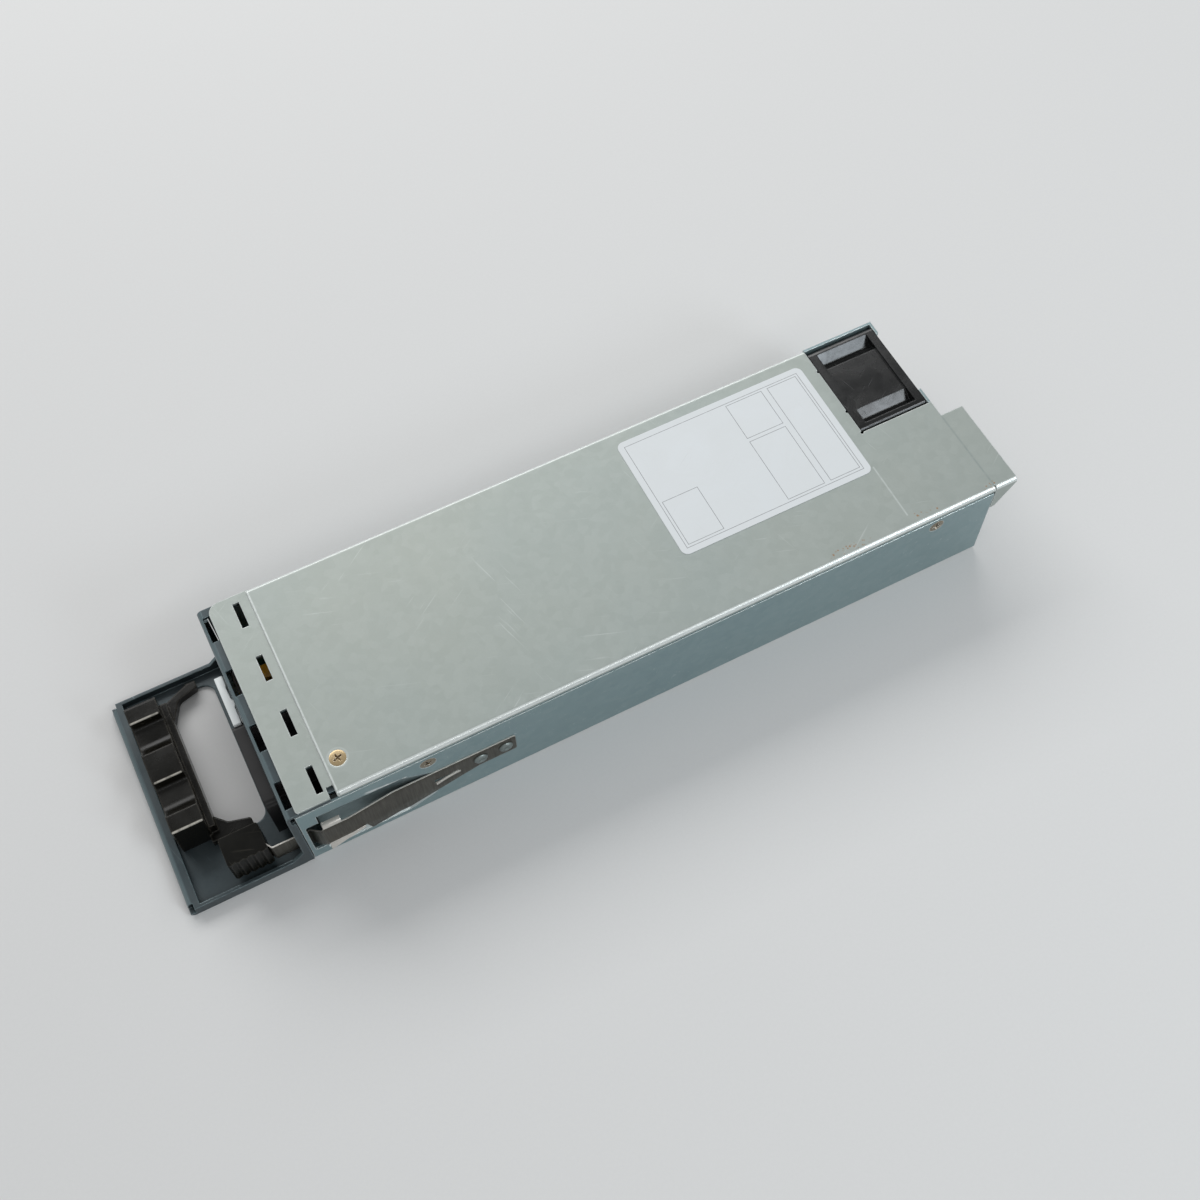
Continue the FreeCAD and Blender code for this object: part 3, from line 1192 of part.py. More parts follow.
def build_fan_frame():
    """Square moulding: two flanges, a shouldered barrel and four corner posts."""
    frame = Solid("fan_frame")
    edge = s.fan_size / 2
    flange = around_fan(rectangle(-edge, edge, -edge, edge, s.fan_corner))
    rear_inside = fan_start + s.fan_flange
    front_inside = fan_end - s.fan_flange
    flat = edge - s.fan_recess
    shoulder = s.fan_shoulder
    barrel = []
    for across, up in ((1, 1), (-1, 1), (-1, -1), (1, -1)):
        corner = [(s.fan_flat, flat), (shoulder, shoulder), (flat, s.fan_flat)]
        if across * up > 0:
            corner.reverse()
        barrel.extend((y * across, z * up) for y, z in corner)
    frame.pad("YZ", fan_start, rear_inside, flange)
    frame.pad("YZ", front_inside, fan_end, flange)
    frame.pad("YZ", rear_inside, front_inside, around_fan(barrel))
    for across in (-1, 1):
        for up in (-1, 1):
            inner = edge - s.fan_post
            post = [(inner, inner), (edge, inner), (edge, edge, s.fan_corner), (inner, edge)]
            foot = inner - s.web_run
            rise = edge - s.web_run
            back = s.web_thick * math.sqrt(2)
            web = [(inner, edge), (foot, rise), (foot, rise - back),
                   (inner + s.cut_skin, edge + s.cut_skin - back)]
            for outline in (post, web):
                turned = [(c[0] * across, c[1] * up) + c[2:] for c in outline]
                frame.pad("YZ", rear_inside, front_inside, around_fan(turned))
    frame.cut("YZ", fan_start - s.cut_over, fan_end + s.cut_over, circles=[(fan_side, fan_high, s.fan_bore)])
    holes = [(fan_side + fan_hole_half * a, fan_high + fan_hole_half * b, s.fan_hole)
             for a in (-1, 1) for b in (-1, 1)]
    frame.cut("YZ", fan_start - s.cut_over, rear_inside + 0.01, circles=holes)
    frame.cut("YZ", front_inside - 0.01, fan_end + s.cut_over, circles=holes)
    frame.pad("YZ", fan_start, motor_face(), circles=[(fan_side, fan_high, s.motor_radius)])
    wide = s.strut_width / 2
    reach = s.fan_bore + s.barb_setback
    inner = s.motor_radius - s.tube_wall
    frame.pad("YZ", fan_start, motor_face(),
              around_fan(rectangle(-reach, -inner, -wide, wide)),
              around_fan(rectangle(inner, reach, -wide, wide)),
              around_fan(rectangle(-wide, wide, inner, reach)),
              around_fan(rectangle(-wide, wide, -reach, -inner)))
    tube_end = motor_face() + s.stator_length + s.tube_over
    frame.pad("YZ", motor_face() - s.cut_skin, tube_end, circles=[(fan_side, fan_high, s.bearing_tube)])
    bearing_bore = bearing_radius() + s.seat_gap / 10
    frame.cut("YZ", motor_face() - 1.5, tube_end + s.cut_over, circles=[(fan_side, fan_high, bearing_bore)])
    frame.keep()


def motor_face():
    """Inner face of the motor plate."""
    return fan_start + s.motor_plate


def bearing_radius():
    """Outside radius of a sleeve bearing."""
    return s.bearing_tube - s.tube_wall


def build_fan_motor():
    """Fixed parts inside the hub: wound stator, its board and two bearings."""
    board = Solid("fan_circuit_board")
    clear = s.bearing_tube + s.seat_gap
    board.pad("YZ", motor_face() + s.seat_gap, motor_face() + s.seat_gap + s.motor_board, circles=[
        (fan_side, fan_high, s.stator_radius + s.stator_lap), (fan_side, fan_high, clear)])
    board.keep()
    stator = Solid("fan_stator")
    start = motor_face() + s.motor_board + s.side_gap
    arm = s.stator_radius
    wide = s.bearing_tube + s.stator_arm
    cross = [(wide, wide), (wide, arm), (-wide, arm), (-wide, wide), (-arm, wide), (-arm, -wide),
             (-wide, -wide), (-wide, -arm), (wide, -arm), (wide, -wide), (arm, -wide), (arm, wide)]
    stator.pad("YZ", start, start + s.stator_length - s.bearing_sink - s.gusset_gap, around_fan(cross))
    stator.cut("YZ", start - s.cut_over, start + s.stator_length, circles=[(fan_side, fan_high, clear)])
    stator.keep()
    bearings = Solid("fan_bearings")
    bore = s.shaft_radius + s.shaft_gap
    tube_end = motor_face() + s.stator_length + s.tube_over
    first = motor_face() - s.bearing_sink
    for low in (first, tube_end - s.bearing_length):
        bearings.pad("YZ", low, low + s.bearing_length,
                     circles=[(fan_side, fan_high, bearing_radius()), (fan_side, fan_high, bore)])
    bearings.keep()


def build_fan_rotor():
    """Hub cup with twisted blades, magnet ring and shaft."""
    hub_end = fan_end - s.fan_flange / 2
    hub_start = hub_end - s.hub_length
    rotor = Solid("fan_rotor")
    rotor.pad("YZ", 0, s.hub_length, circles=[(0, 0, s.hub_radius)])
    rotor.cut("YZ", -s.cut_over, s.hub_length - s.hub_cap,
              circles=[(0, 0, s.hub_radius - s.hub_wall)])
    blade = add_blade(rotor)
    pattern = rotor.body.newObject("PartDesign::PolarPattern", "blade_ring")
    pattern.Originals = [blade]
    axis = [f for f in rotor.body.Origin.OriginFeatures if f.Role == "X_Axis"][0]
    pattern.Axis = (axis, [""])
    pattern.Angle = 360
    pattern.setExpression("Occurrences", s.blade_count.text)
    rotor.body.Tip = pattern
    tip = s.fan_bore - s.blade_tip_gap
    rotor.cut("YZ", -s.blade_trim, s.hub_length + s.blade_trim,
              circles=[(0, 0, s.fan_bore + s.blade_trim), (0, 0, tip)])
    place_at(rotor.body, hub_start, fan_side, fan_high)
    rotor.keep()
    ring_outer = s.hub_radius - s.hub_wall - s.seat_gap / 4
    magnet = Solid("fan_magnet_ring")
    magnet.pad("YZ", hub_start + s.magnet_inset, hub_start + s.magnet_inset + s.magnet_length,
               circles=[(fan_side, fan_high, ring_outer),
                        (fan_side, fan_high, ring_outer - s.magnet_thick)])
    magnet.keep()
    shaft_start = motor_face() - s.tube_wall
    shaft_end = hub_end - s.hub_cap
    keep(rod("fan_shaft", (shaft_start, fan_side, fan_high), "+X", shaft_end - shaft_start,
             s.shaft_radius))


def add_blade(rotor):
    """One twisted blade, lofted from inside the hub's wall to near the bore."""
    tip = s.fan_bore
    root = s.hub_radius - s.hub_wall / 2
    sketches = []
    for radius, pitch, chord in ((root, s.blade_root_pitch, s.blade_chord * 0.8),
                                 (tip, s.blade_tip_pitch, s.blade_chord)):
        thick = s.blade_thick / 2
        outline = [(-chord / 2, -thick / 2), (0, -thick - 0.9), (chord / 2, -thick / 2),
                   (chord / 2, thick / 2), (0, thick - 0.9), (-chord / 2, thick / 2)]
        sketch = rotor.sketch("XY", radius, [outline])
        sketch.setExpression("AttachmentOffset.Base.x", (s.hub_length / 2).text)
        sketch.AttachmentOffset = FreeCAD.Placement(
            sketch.AttachmentOffset.Base, FreeCAD.Rotation(FreeCAD.Vector(0, 0, 1), 0))
        sketch.setExpression("AttachmentOffset.Rotation.Angle", (90 - pitch).text)
        sketches.append(sketch)
    blade = rotor.feature("AdditiveLoft", sketches[0])
    blade.Sections = sketches[1:]
    return blade


def build_fan_screws():
    """Two self-tapping screws through the end wall into the fan's lower corners."""
    screws = []
    for across in (-1, 1):
        y = fan_side + fan_hole_half * across
        z = fan_high - fan_hole_half
        head = rod("fan_screw_head_%d" % across, (s.case_length, y, z), "+X", s.fan_screw_rise,
                   s.screw_head - s.side_gap)
        shank = rod("fan_screw_shank_%d" % across, (s.case_length, y, z), "-X",
                    s.fan_flange + s.steel, s.screw_shank)
        screws.append(fused("fan_screw_%d" % (across + 1), [head, shank]))
    keep(grouped("fan_screws", screws))


# ------------------------------------------------------- inlet and lights

def build_inlet():
    """Keyed inlet moulding with a rim outside the rear panel, and its contacts."""
    inlet = Solid("ac_inlet")
    y, z = -s.inlet_side, s.inlet_high
    wide, tall = s.inlet_width / 2, s.inlet_height / 2
    rim = rectangle(y - wide, y + wide, z - tall, z + tall, 2.0)
    inlet.pad("YZ", -s.inlet_proud, -s.seat_gap / 10, rim)
    wide, tall = s.inlet_body_width / 2, s.inlet_body_height / 2
    inlet.pad("YZ", -0.5, s.inlet_depth, rectangle(y - wide, y + wide, z - tall, z + tall))
    wide, tall, key = s.mouth_width / 2, s.mouth_height / 2, s.mouth_key
    mouth = [(y - wide, z - tall), (y + wide, z - tall), (y + wide, z + tall - key),
             (y + wide - key, z + tall), (y - wide + key, z + tall), (y - wide, z + tall - key)]
    inlet.cut("YZ", -s.inlet_proud - s.cut_over, -s.inlet_proud + s.mouth_depth, mouth)
    slots = [rectangle(*blade_bounds(i, s.seat_gap / 10)) for i in range(3)]
    inlet.cut("YZ", -s.inlet_proud + s.mouth_depth - s.cut_over, s.inlet_depth + s.cut_over, *slots)
    inlet.keep()
    contacts = []
    start = -s.inlet_proud + s.mouth_depth - s.blade_long
    for i in range(3):
        low_y, high_y, low_z, high_z = blade_bounds(i, as_size(0))
        contacts.append(box("inlet_contact_%d" % i, (start, s.inlet_depth + 4.0),
                            (low_y, high_y), (low_z, high_z)))
    keep(grouped("inlet_contacts", contacts))


def blade_bounds(index, fit):
    """Section of an inlet contact: neutral, earth, line."""
    y = -s.inlet_side + s.blade_spread / 2 * (index - 1)
    z = s.inlet_high - s.blade_offset / 2
    if index == 1:
        z = z + s.blade_offset
    flat, wide = s.blade_flat / 2 + fit, s.blade_wide / 2 + fit
    return y - flat, y + flat, z - wide, z + wide


def build_inlet_board():
    """Upright board soldered to the inlet's contacts."""
    board = Solid("inlet_board")
    start = s.inlet_depth + s.side_gap
    wide = s.inlet_body_width / 2 + s.inlet_board_edge
    low = board_top
    high = s.inlet_high + s.inlet_body_height / 2 + s.inlet_board_top
    board.pad("YZ", start, start + s.board_thick,
              rectangle(-s.inlet_side - wide, -s.inlet_side + wide, low, high))
    slots = [rectangle(*blade_bounds(i, s.seat_gap / 10)) for i in range(3)]
    board.cut("YZ", start - s.cut_over, start + s.board_thick + s.cut_over, *slots)
    board.keep()


def build_light_guide():
    """Clear bar that carries the status lights to the rear face."""
    guide = Solid("status_light_guide")
    low = guide_low()
    near = guide_near()
    guide.pad("YZ", -s.guide_proud, s.guide_depth,
              rectangle(near, near + s.guide_length, low, low + s.guide_height))
    guide.pad("YZ", s.bezel_sheet + s.seat_gap / 2, s.bezel_sheet + s.guide_flange,
              rectangle(near - s.guide_lap, near + s.guide_length + s.guide_lap, low - s.guide_lap,
                        low + s.guide_height + s.guide_lap))
    guide.keep()


def build_label():
    """Blank printed label on the cover."""
    label = Solid("rating_label")
    wide = s.label_width / 2
    label.pad("XY", s.case_height, s.case_height + s.label_thick,
              rectangle(s.label_start, s.label_start + s.label_length,
                        s.label_middle - wide, s.label_middle + wide, s.label_corner))
    label.keep()


# ------------------------------------------------------------ electronics

def standoff_places():
    """Board fixing points on the chassis floor."""
    near = board_near + s.fixing_inset
    far = board_far - s.fixing_inset
    first = notch_start - s.fixing_rear - s.standoff_pitch * 2
    places = [(first + s.standoff_pitch * i, far) for i in range(3)]
    for x in (s.recess_end + s.fixing_near, s.core_start + s.core_length / 2,
              end_inside - s.fixing_end):
        places.append((x, near))
    return places


def build_board():
    """Main board with its card edge tongue, standoffs and screws."""
    board = Solid("main_board")
    edge = notch_start - s.side_gap * 3
    near = board_near
    shelf = end_inside - s.side_gap
    tongue_near = -s.tongue_side - s.tongue_width / 2
    tongue_far = -s.tongue_side + s.tongue_width / 2
    tip = s.case_length + s.tongue_reach
    recess_edge = recess_inside + s.recess_clear
    step = s.recess_end + s.board_step
    outline = [
        (s.board_start, recess_edge), (step, recess_edge),
        (step, near), (shelf, near), (shelf, tongue_near), (tip, tongue_near, s.tongue_clear),
        (tip, tongue_far, s.tongue_clear), (shelf, tongue_far),
        (shelf, notch_near - s.recess_clear), (edge, notch_near - s.recess_clear),
        (edge, board_far), (s.board_start, board_far),
    ]
    board.pad("XY", board_bottom, board_top, outline)
    hole = s.board_screw_thread + s.seat_gap
    board.cut("XY", board_bottom - s.cut_over, board_top + s.cut_over,
              circles=[(x, y, hole) for x, y in standoff_places()])
    board.keep()
    standoffs = []
    screws = []
    for i, (x, y) in enumerate(standoff_places()):
        post = rod("standoff_post_%d" % i, (x, y, s.steel), "+Z", s.board_rise, s.standoff_radius)
        bore = rod("standoff_bore_%d" % i, (x, y, s.steel + s.standoff_floor), "+Z", s.board_rise,
                   s.board_screw_thread + s.seat_gap / 5)
        standoffs.append(trimmed("standoff_%d" % i, post, [bore]))
        head = rod("board_screw_head_%d" % i, (x, y, board_top), "+Z", s.board_screw_rise,
                   s.board_screw_head)
        thread = rod("board_screw_thread_%d" % i, (x, y, board_top), "-Z",
                     s.board_thick + s.board_screw_reach,
                     s.board_screw_thread)
        screws.append(fused("board_screw_%d" % i, [head, thread]))
    keep(grouped("board_standoffs", standoffs))
    keep(grouped("board_screws", screws))
    keep(grouped("edge_contacts", edge_contacts(tip)))
    build_insulator()


def edge_contacts(tip):
    """Gold fingers on both faces of the tongue."""
    fingers = []
    first = -s.tongue_side - s.contact_pitch * (s.contact_count - 1) / 2
    for low, high in ((board_bottom - s.contact_thick, board_bottom),
                      (board_top, board_top + s.contact_thick)):
        for i in range(int(s.contact_count.value)):
            y = first + i * s.contact_pitch
            fingers.append(box("finger_%d" % len(fingers),
                               (tip - s.tongue_reach + s.contact_rear, tip - s.tongue_clear),
                               (y - s.contact_width / 2, y + s.contact_width / 2), (low, high)))
    return fingers


def build_insulator():
    """Film between the board's solder side and the chassis floor."""
    film = Solid("insulator_sheet")
    start = s.board_start + s.film_margin * 2
    end = notch_start - s.recess_clear
    low = s.steel
    step = s.recess_end + s.board_step + s.film_margin
    recess_edge = recess_inside + s.recess_clear + s.film_margin
    outline = [(start, recess_edge), (step, recess_edge),
               (step, board_near + s.film_margin), (end, board_near + s.film_margin),
               (end, board_far - s.film_margin), (start, board_far - s.film_margin)]
    film.pad("XY", low, low + s.sheet_thick, outline)
    clear = s.standoff_radius + s.film_hole
    film.cut("XY", low - s.cut_skin, low + s.sheet_thick + s.cut_skin,
             circles=[(x, y, clear) for x, y in standoff_places()])
    film.keep()


def build_capacitors():
    """Bulk storage cans, output cans and the film capacitor behind the vent strip."""
    cans = []
    for i in range(2):
        x = s.capacitor_start + s.capacitor_radius + i * s.capacitor_pitch
        y = -s.capacitor_side + s.capacitor_stagger
        cans.append(rod("bulk_can_%d" % i, (x, y, sink_foot), "+Z", s.capacitor_height,
                        s.capacitor_radius))
    keep(grouped("bulk_capacitors", cans))
    small = []
    pitch = s.output_radius * 2 + s.output_gap
    for i in range(6):
        x = s.core_start + s.core_length + s.output_after + (i % 3) * pitch
        y = -s.output_side - (i // 3) * pitch
        small.append(rod("output_can_%d" % i, (x, y, sink_foot), "+Z", s.output_height,
                         s.output_radius))
    keep(grouped("output_capacitors", small))
    film = Solid("film_capacitor")
    side = s.film_side
    film.pad("XY", sink_foot, sink_foot + s.film_height,
             rectangle(s.film_start, s.film_start + s.film_length, side - s.film_thick / 2,
                       side + s.film_thick / 2, s.film_corner))
    film.keep()


def build_magnetics():
    """Line filter choke, boost choke and main transformer."""
    ring = Solid("line_filter_choke")
    y = -s.filter_side
    ring.pad("XY", sink_foot, sink_foot + s.filter_height,
             circles=[(s.filter_start, y, s.filter_radius),
                      (s.filter_start, y, s.filter_radius / 2)])
    ring.keep()
    choke = Solid("boost_choke")
    choke.pad("XY", sink_foot, sink_foot + s.choke_height,
              circles=[(s.choke_start, -s.choke_side, s.choke_radius),
                       (s.choke_start, -s.choke_side, s.choke_bore)])
    choke.keep()
    core = Solid("transformer_core")
    low, high = sink_foot, sink_foot + s.core_height
    x0, x1 = s.core_start, s.core_start + s.core_length
    y0 = s.core_side - s.core_shift - s.core_width / 2
    y1 = y0 + s.core_width
    leg = s.core_leg
    core.pad("XZ", y0, y1, rectangle(x0, x1, low, high))
    core.cut("XZ", y0 - s.cut_over, y1 + s.cut_over,
             rectangle(x0 + leg, x0 + s.core_length / 2 - leg / 2, low + leg, high - leg),
             rectangle(x0 + s.core_length / 2 + leg / 2, x1 - leg, low + leg, high - leg))
    core.keep()
    winding = Solid("transformer_winding")
    out = s.winding_out
    gap = s.seat_gap
    winding.pad("XY", low + leg + gap, high - leg - gap,
                rectangle(x0 + leg + gap, x1 - leg - gap, y0 - out, y1 + out,
                          s.winding_corner),
                rectangle(x0 + s.core_length / 2 - leg / 2 - gap,
                          x0 + s.core_length / 2 + leg / 2 + gap, y0 - gap, y1 + gap))
    winding.keep()


def build_heatsinks():
    """Two finned extrusions with the power transistors clamped to their backs."""
    back = s.sink_side + 2.0
    for label, start in (("primary_heatsink", s.primary_start),
                         ("secondary_heatsink", s.secondary_start)):
        sink = Solid(label)
        pitch = (s.sink_height - s.sink_fin_thick) / (s.sink_fin_count - 1)
        low = sink_foot
        sink.pad("YZ", start, start + s.sink_length,
                 rectangle(back, back + s.sink_back, low, low + s.sink_height))
        for i in range(int(s.sink_fin_count.value)):
            base = low + i * pitch
            sink.pad("YZ", start, start + s.sink_length,
                     rectangle(back + s.sink_back - 0.2, back + s.sink_back + s.sink_fin,
                               base, base + s.sink_fin_thick))
        sink.keep()
        devices = []
        for i in range(3):
            x0 = start + 5.0 + i * s.device_pitch
            body = box("%s_device_%d" % (label, i), (x0, x0 + s.device_width),
                       (back - s.device_thick, back),
                       (board_top + s.device_rise, board_top + s.device_rise + s.device_height))
            legs = box("%s_legs_%d" % (label, i), (x0 + 2.0, x0 + s.device_width - 2.0),
                       (back - 2.6, back - 2.0), (board_top, board_top + s.device_rise))
            devices.append(fused("%s_transistor_%d" % (label, i), [body, legs]))
        keep(grouped(label.replace("heatsink", "transistors"), devices))


def build_small_boards():
    """Upright control board and the fan's plug."""
    control = Solid("control_board")
    y = as_size(2.0)
    x0 = s.control_start
    control.pad("XZ", y, y + s.board_thick,
                rectangle(x0, x0 + s.control_length, board_top, board_top + s.control_height))
    control.keep()
    chips = []
    for i in range(3):
        x = x0 + 4.0 + i * 12.0
        chips.append(box("chip_%d" % i, (x, x + 7.0),
                         (y + s.board_thick, y + s.board_thick + 1.4),
                         (board_top + 8.0, board_top + 15.0)))
    keep(grouped("control_chips", chips))
    x = notch_start - s.plug_length - 4.0
    keep(box("fan_plug", (x, x + s.plug_length), (notch_near + 2.0, notch_near + 2.0 + s.plug_width),
             (board_top, board_top + s.plug_height)))


# ------------------------------------------------------------------ build

def build():
    """Make every piece of the supply."""
    finish_chassis()
    build_cover()
    build_bezel()
    build_grip()
    build_leaf()
    build_leaf_anchor()
    build_thumb_tab()
    build_rivets()
    build_cover_screws()
    build_fan_frame()
    build_fan_motor()
    build_fan_rotor()
    build_fan_screws()
    build_inlet()
    build_inlet_board()
    build_light_guide()
    build_label()
    build_board()
    build_capacitors()
    build_magnetics()
    build_heatsinks()
    build_small_boards()


def check():
    """Stop on any failed feature, empty cut or bad shape."""
    for item in doc.Objects:
        if "Invalid" in item.State or "Error" in item.State:
            raise RuntimeError("%s did not build" % item.Label)
        if item.TypeId in ("PartDesign::Pocket", "PartDesign::SubtractiveLoft"):
            before = item.BaseFeature.Shape.Volume
            if item.Shape.Volume > before - 1e-6:
                raise RuntimeError("%s removes nothing" % item.Label)
    for node in nodes:
        if node.Shape.isNull() or not node.Shape.isValid() or not node.Shape.Solids:
            raise RuntimeError("%s has no sound shape" % node.Label)


def export():
    """Write one STEP file for each node."""
    os.makedirs("parts", exist_ok=True)
    for node in nodes:
        node.Shape.exportStep(os.path.join("parts", node.Label + ".step"))


build()
doc.recompute()
check()
export()
for node in nodes:
    print("%-24s %2d solid(s) %10.1f mm3" % (node.Label, len(node.Shape.Solids), node.Shape.Volume))
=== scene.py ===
"""A hot swap server power supply, dressed for looking at.

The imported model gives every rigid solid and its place. This script gives each
solid its finish, rounds the corners of three moulded pieces, and puts finer
pieces in place of the side and top cover screws, the latch's leaf spring and
its rivets, and the status light guide. It also sets up the floor, the light
and the camera.
Lengths are in metres unless a line says millimetres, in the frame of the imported
model: +X runs along the case to its connector end, +Y to the side without the
latch, +Z up.
"""
import logging
import math
from dataclasses import dataclass, field
from enum import Enum
from typing import ClassVar, Sequence, Union

import bmesh
import bpy
from mathutils import Matrix, Vector


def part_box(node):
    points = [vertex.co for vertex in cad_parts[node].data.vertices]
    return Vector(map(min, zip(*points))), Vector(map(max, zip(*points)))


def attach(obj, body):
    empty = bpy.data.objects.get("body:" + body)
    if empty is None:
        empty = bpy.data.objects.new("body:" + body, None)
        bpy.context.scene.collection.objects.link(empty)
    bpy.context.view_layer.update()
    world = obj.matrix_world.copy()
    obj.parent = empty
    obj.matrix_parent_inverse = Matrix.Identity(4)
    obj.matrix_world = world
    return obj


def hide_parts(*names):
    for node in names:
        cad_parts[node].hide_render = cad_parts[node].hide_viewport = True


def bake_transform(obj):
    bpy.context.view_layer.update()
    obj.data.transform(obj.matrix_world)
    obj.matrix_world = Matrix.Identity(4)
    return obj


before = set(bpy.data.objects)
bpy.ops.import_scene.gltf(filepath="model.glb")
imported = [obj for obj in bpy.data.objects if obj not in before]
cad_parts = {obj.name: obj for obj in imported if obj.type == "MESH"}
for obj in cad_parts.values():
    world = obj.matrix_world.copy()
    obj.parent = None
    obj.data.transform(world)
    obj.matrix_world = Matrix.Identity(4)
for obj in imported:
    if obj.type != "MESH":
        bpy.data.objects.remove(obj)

LOG = logging.getLogger("power_supply")
MM = 0.001
WELD_REACH = 0.000004
SOFT_CORNER = math.radians(38.0)
CUT_CORNER = math.radians(55.0)
NO_WIDTH = 1e-9
Point = tuple[float, float, float]
Span = tuple[float, float]
Line = tuple[Point, Point]
Colour = tuple[float, float, float, float]
Mesh = bmesh.types.BMesh
Corner = bmesh.types.BMVert
Piece = bpy.types.Object
Node = bpy.types.Node
Socket = bpy.types.NodeSocket
Tree = bpy.types.NodeTree
Feed = Union[bpy.types.NodeSocket, float, Sequence[float]]
WHOLE: Span = (0.0, 1.0)
FADE: Span = (1.0, 0.0)


class Facing(Enum):
    """The way the head of a screw or a rivet looks, as a unit vector."""

    NEAR_SIDE = (0.0, -1.0, 0.0)
    FAR_SIDE = (0.0, 1.0, 0.0)
    UP = (0.0, 0.0, 1.0)


def linear(channel: float) -> float:
    """Undo the display curve of one colour channel.

    Args:
        channel: The display value, from 0 to 255.

    Returns:
        The linear value, from 0 to 1.
    """
    value = channel / 255.0
    if value <= 0.04045:
        return value / 12.92
    return ((value + 0.055) / 1.055) ** 2.4


def paint(red: float, green: float, blue: float) -> Colour:
    """Turn a display colour, each channel from 0 to 255, into an opaque scene colour."""
    return (linear(red), linear(green), linear(blue), 1.0)


# ---------------------------------------------------------------------------
# Shader graphs
# ---------------------------------------------------------------------------


class Graph:
    """Adds and links nodes in one shader tree."""

    NUMBER_STEPS = ("DOT_PRODUCT", "DISTANCE", "LENGTH")

    def __init__(self, tree: Tree) -> None:
        """Keep the tree to draw in."""
        self.tree = tree

    def node(self, kind: str, settings: dict | None = None, **sockets: Feed) -> Node:
        """Add a node.

        Args:
            kind: The node's type name without its ShaderNode prefix.
            settings: Properties of the node itself.
            **sockets: Input values or output sockets, by input name with _ for a space.

        Returns:
            The new node.
        """
        made = self.tree.nodes.new("ShaderNode" + kind)
        for name, value in (settings or {}).items():
            setattr(made, name, value)
        for name, value in sockets.items():
            self.feed(made.inputs[name.replace("_", " ")], value)
        return made

    def feed(self, socket: Socket, value: Feed) -> None:
        """Link an output to an input, or set the input's value.

        Args:
            socket: The input.
            value: The output socket or the plain value.
        """
        if isinstance(value, Socket):
            self.tree.links.new(value, socket)
        else:
            socket.default_value = value

    def fill(self, made: Node, values: Sequence[Feed]) -> None:
        """Feed a node's first inputs in order.

        Args:
            made: The node.
            values: An output socket or a plain value for each input.
        """
        for index, value in enumerate(values):
            self.feed(made.inputs[index], value)

    def maths(self, operation: str, first: Feed, second: Feed = 0.0, clamp: bool = False) -> Socket:
        """Add a math step on two numbers.

        Args:
            operation: The step's name.
            first: The first number.
            second: The second number, which some steps don't use.
            clamp: True to keep the result from 0 to 1.

        Returns:
            The result.
        """
        made = self.node("Math", {"operation": operation, "use_clamp": clamp})
        self.fill(made, (first, second))
        return made.outputs[0]

    def times(self, first: Feed, second: Feed, clamp: bool = False) -> Socket:
        """Multiply two numbers."""
        return self.maths("MULTIPLY", first, second, clamp)

    def plus(self, first: Feed, second: Feed, clamp: bool = False) -> Socket:
        """Add two numbers."""
        return self.maths("ADD", first, second, clamp)

    def minus(self, first: Feed, second: Feed, clamp: bool = False) -> Socket:
        """Take the second number from the first."""
        return self.maths("SUBTRACT", first, second, clamp)

    def largest(self, first: Feed, *others: Feed) -> Socket:
        """Find the largest of several numbers.

        Args:
            first: The first number.
            *others: The other numbers.

        Returns:
            The largest.
        """
        for other in others:
            first = self.maths("MAXIMUM", first, other)
        return first

    def vector(self, operation: str, first: Feed, second: Feed = (0.0, 0.0, 0.0)) -> Socket:
        """Add a vector math step.

        Args:
            operation: The step's name.
            first: The first vector.
            second: The second vector, which some steps don't use.

        Returns:
            The result, a number for the steps that measure and a vector for the others.
        """
        made = self.node("VectorMath", {"operation": operation})
        self.fill(made, (first, second))
        return made.outputs["Value" if operation in self.NUMBER_STEPS else "Vector"]

    def scaled(self, vector: Feed, scale: Feed) -> Socket:
        """Multiply a vector by a number."""
        made = self.node("VectorMath", {"operation": "SCALE"}, Vector=vector, Scale=scale)
        return made.outputs["Vector"]

    def split(self, vector: Feed) -> list[Socket]:
        """Take a vector apart into its three numbers."""
        return list(self.node("SeparateXYZ", Vector=vector).outputs)

    def channels(self, colour: Feed) -> list[Socket]:
        """Take a colour apart into its three channels."""
        return list(self.node("SeparateColor", Color=colour).outputs)

    def blend(self, factor: Feed, first: Feed, second: Feed) -> Socket:
        """Mix two colours.

        Args:
            factor: The share of the second colour.
            first: The first colour.
            second: The second colour.

        Returns:
            The mixed colour.
        """
        made = self.node("Mix", {"data_type": "RGBA", "blend_type": "MIX"})
        self.feed(made.inputs[0], factor)
        self.feed(made.inputs[6], first)
        self.feed(made.inputs[7], second)
        return made.outputs[2]

    def lay(self, tone: Feed, mask: Feed, share: float, colour: Feed) -> Socket:
        """Lay a colour over a tone by a share of a mask."""
        return self.blend(self.times(mask, share), tone, colour)

    def remap(self, value: Feed, span: tuple[Feed, Feed], to: tuple[Feed, Feed] = WHOLE) -> Socket:
        """Stretch one range of numbers to another, clamped at both ends.

        Args:
            value: The number to map.
            span: The ends of its own range.
            to: What the two ends become.

        Returns:
            The mapped number.
        """
        made = self.node("MapRange", {"clamp": True})
        self.fill(made, (value, *span, *to))
        return made.outputs[0]

    def place(self) -> Socket:
        """The shaded point in the piece's own coordinates."""
        return self.node("TexCoord").outputs["Object"]

    def normal(self) -> Socket:
        """The true normal at the shaded point."""
        return self.node("NewGeometry").outputs["Normal"]

    def noise(self, where: Feed, scale: Feed, detail: float = 3.0, roughness: float = 0.5) -> Socket:
        """Soft noise at a point, from 0 to 1."""
        made = self.node("TexNoise", Vector=where, Scale=scale, Detail=detail, Roughness=roughness)
        return made.outputs[0]

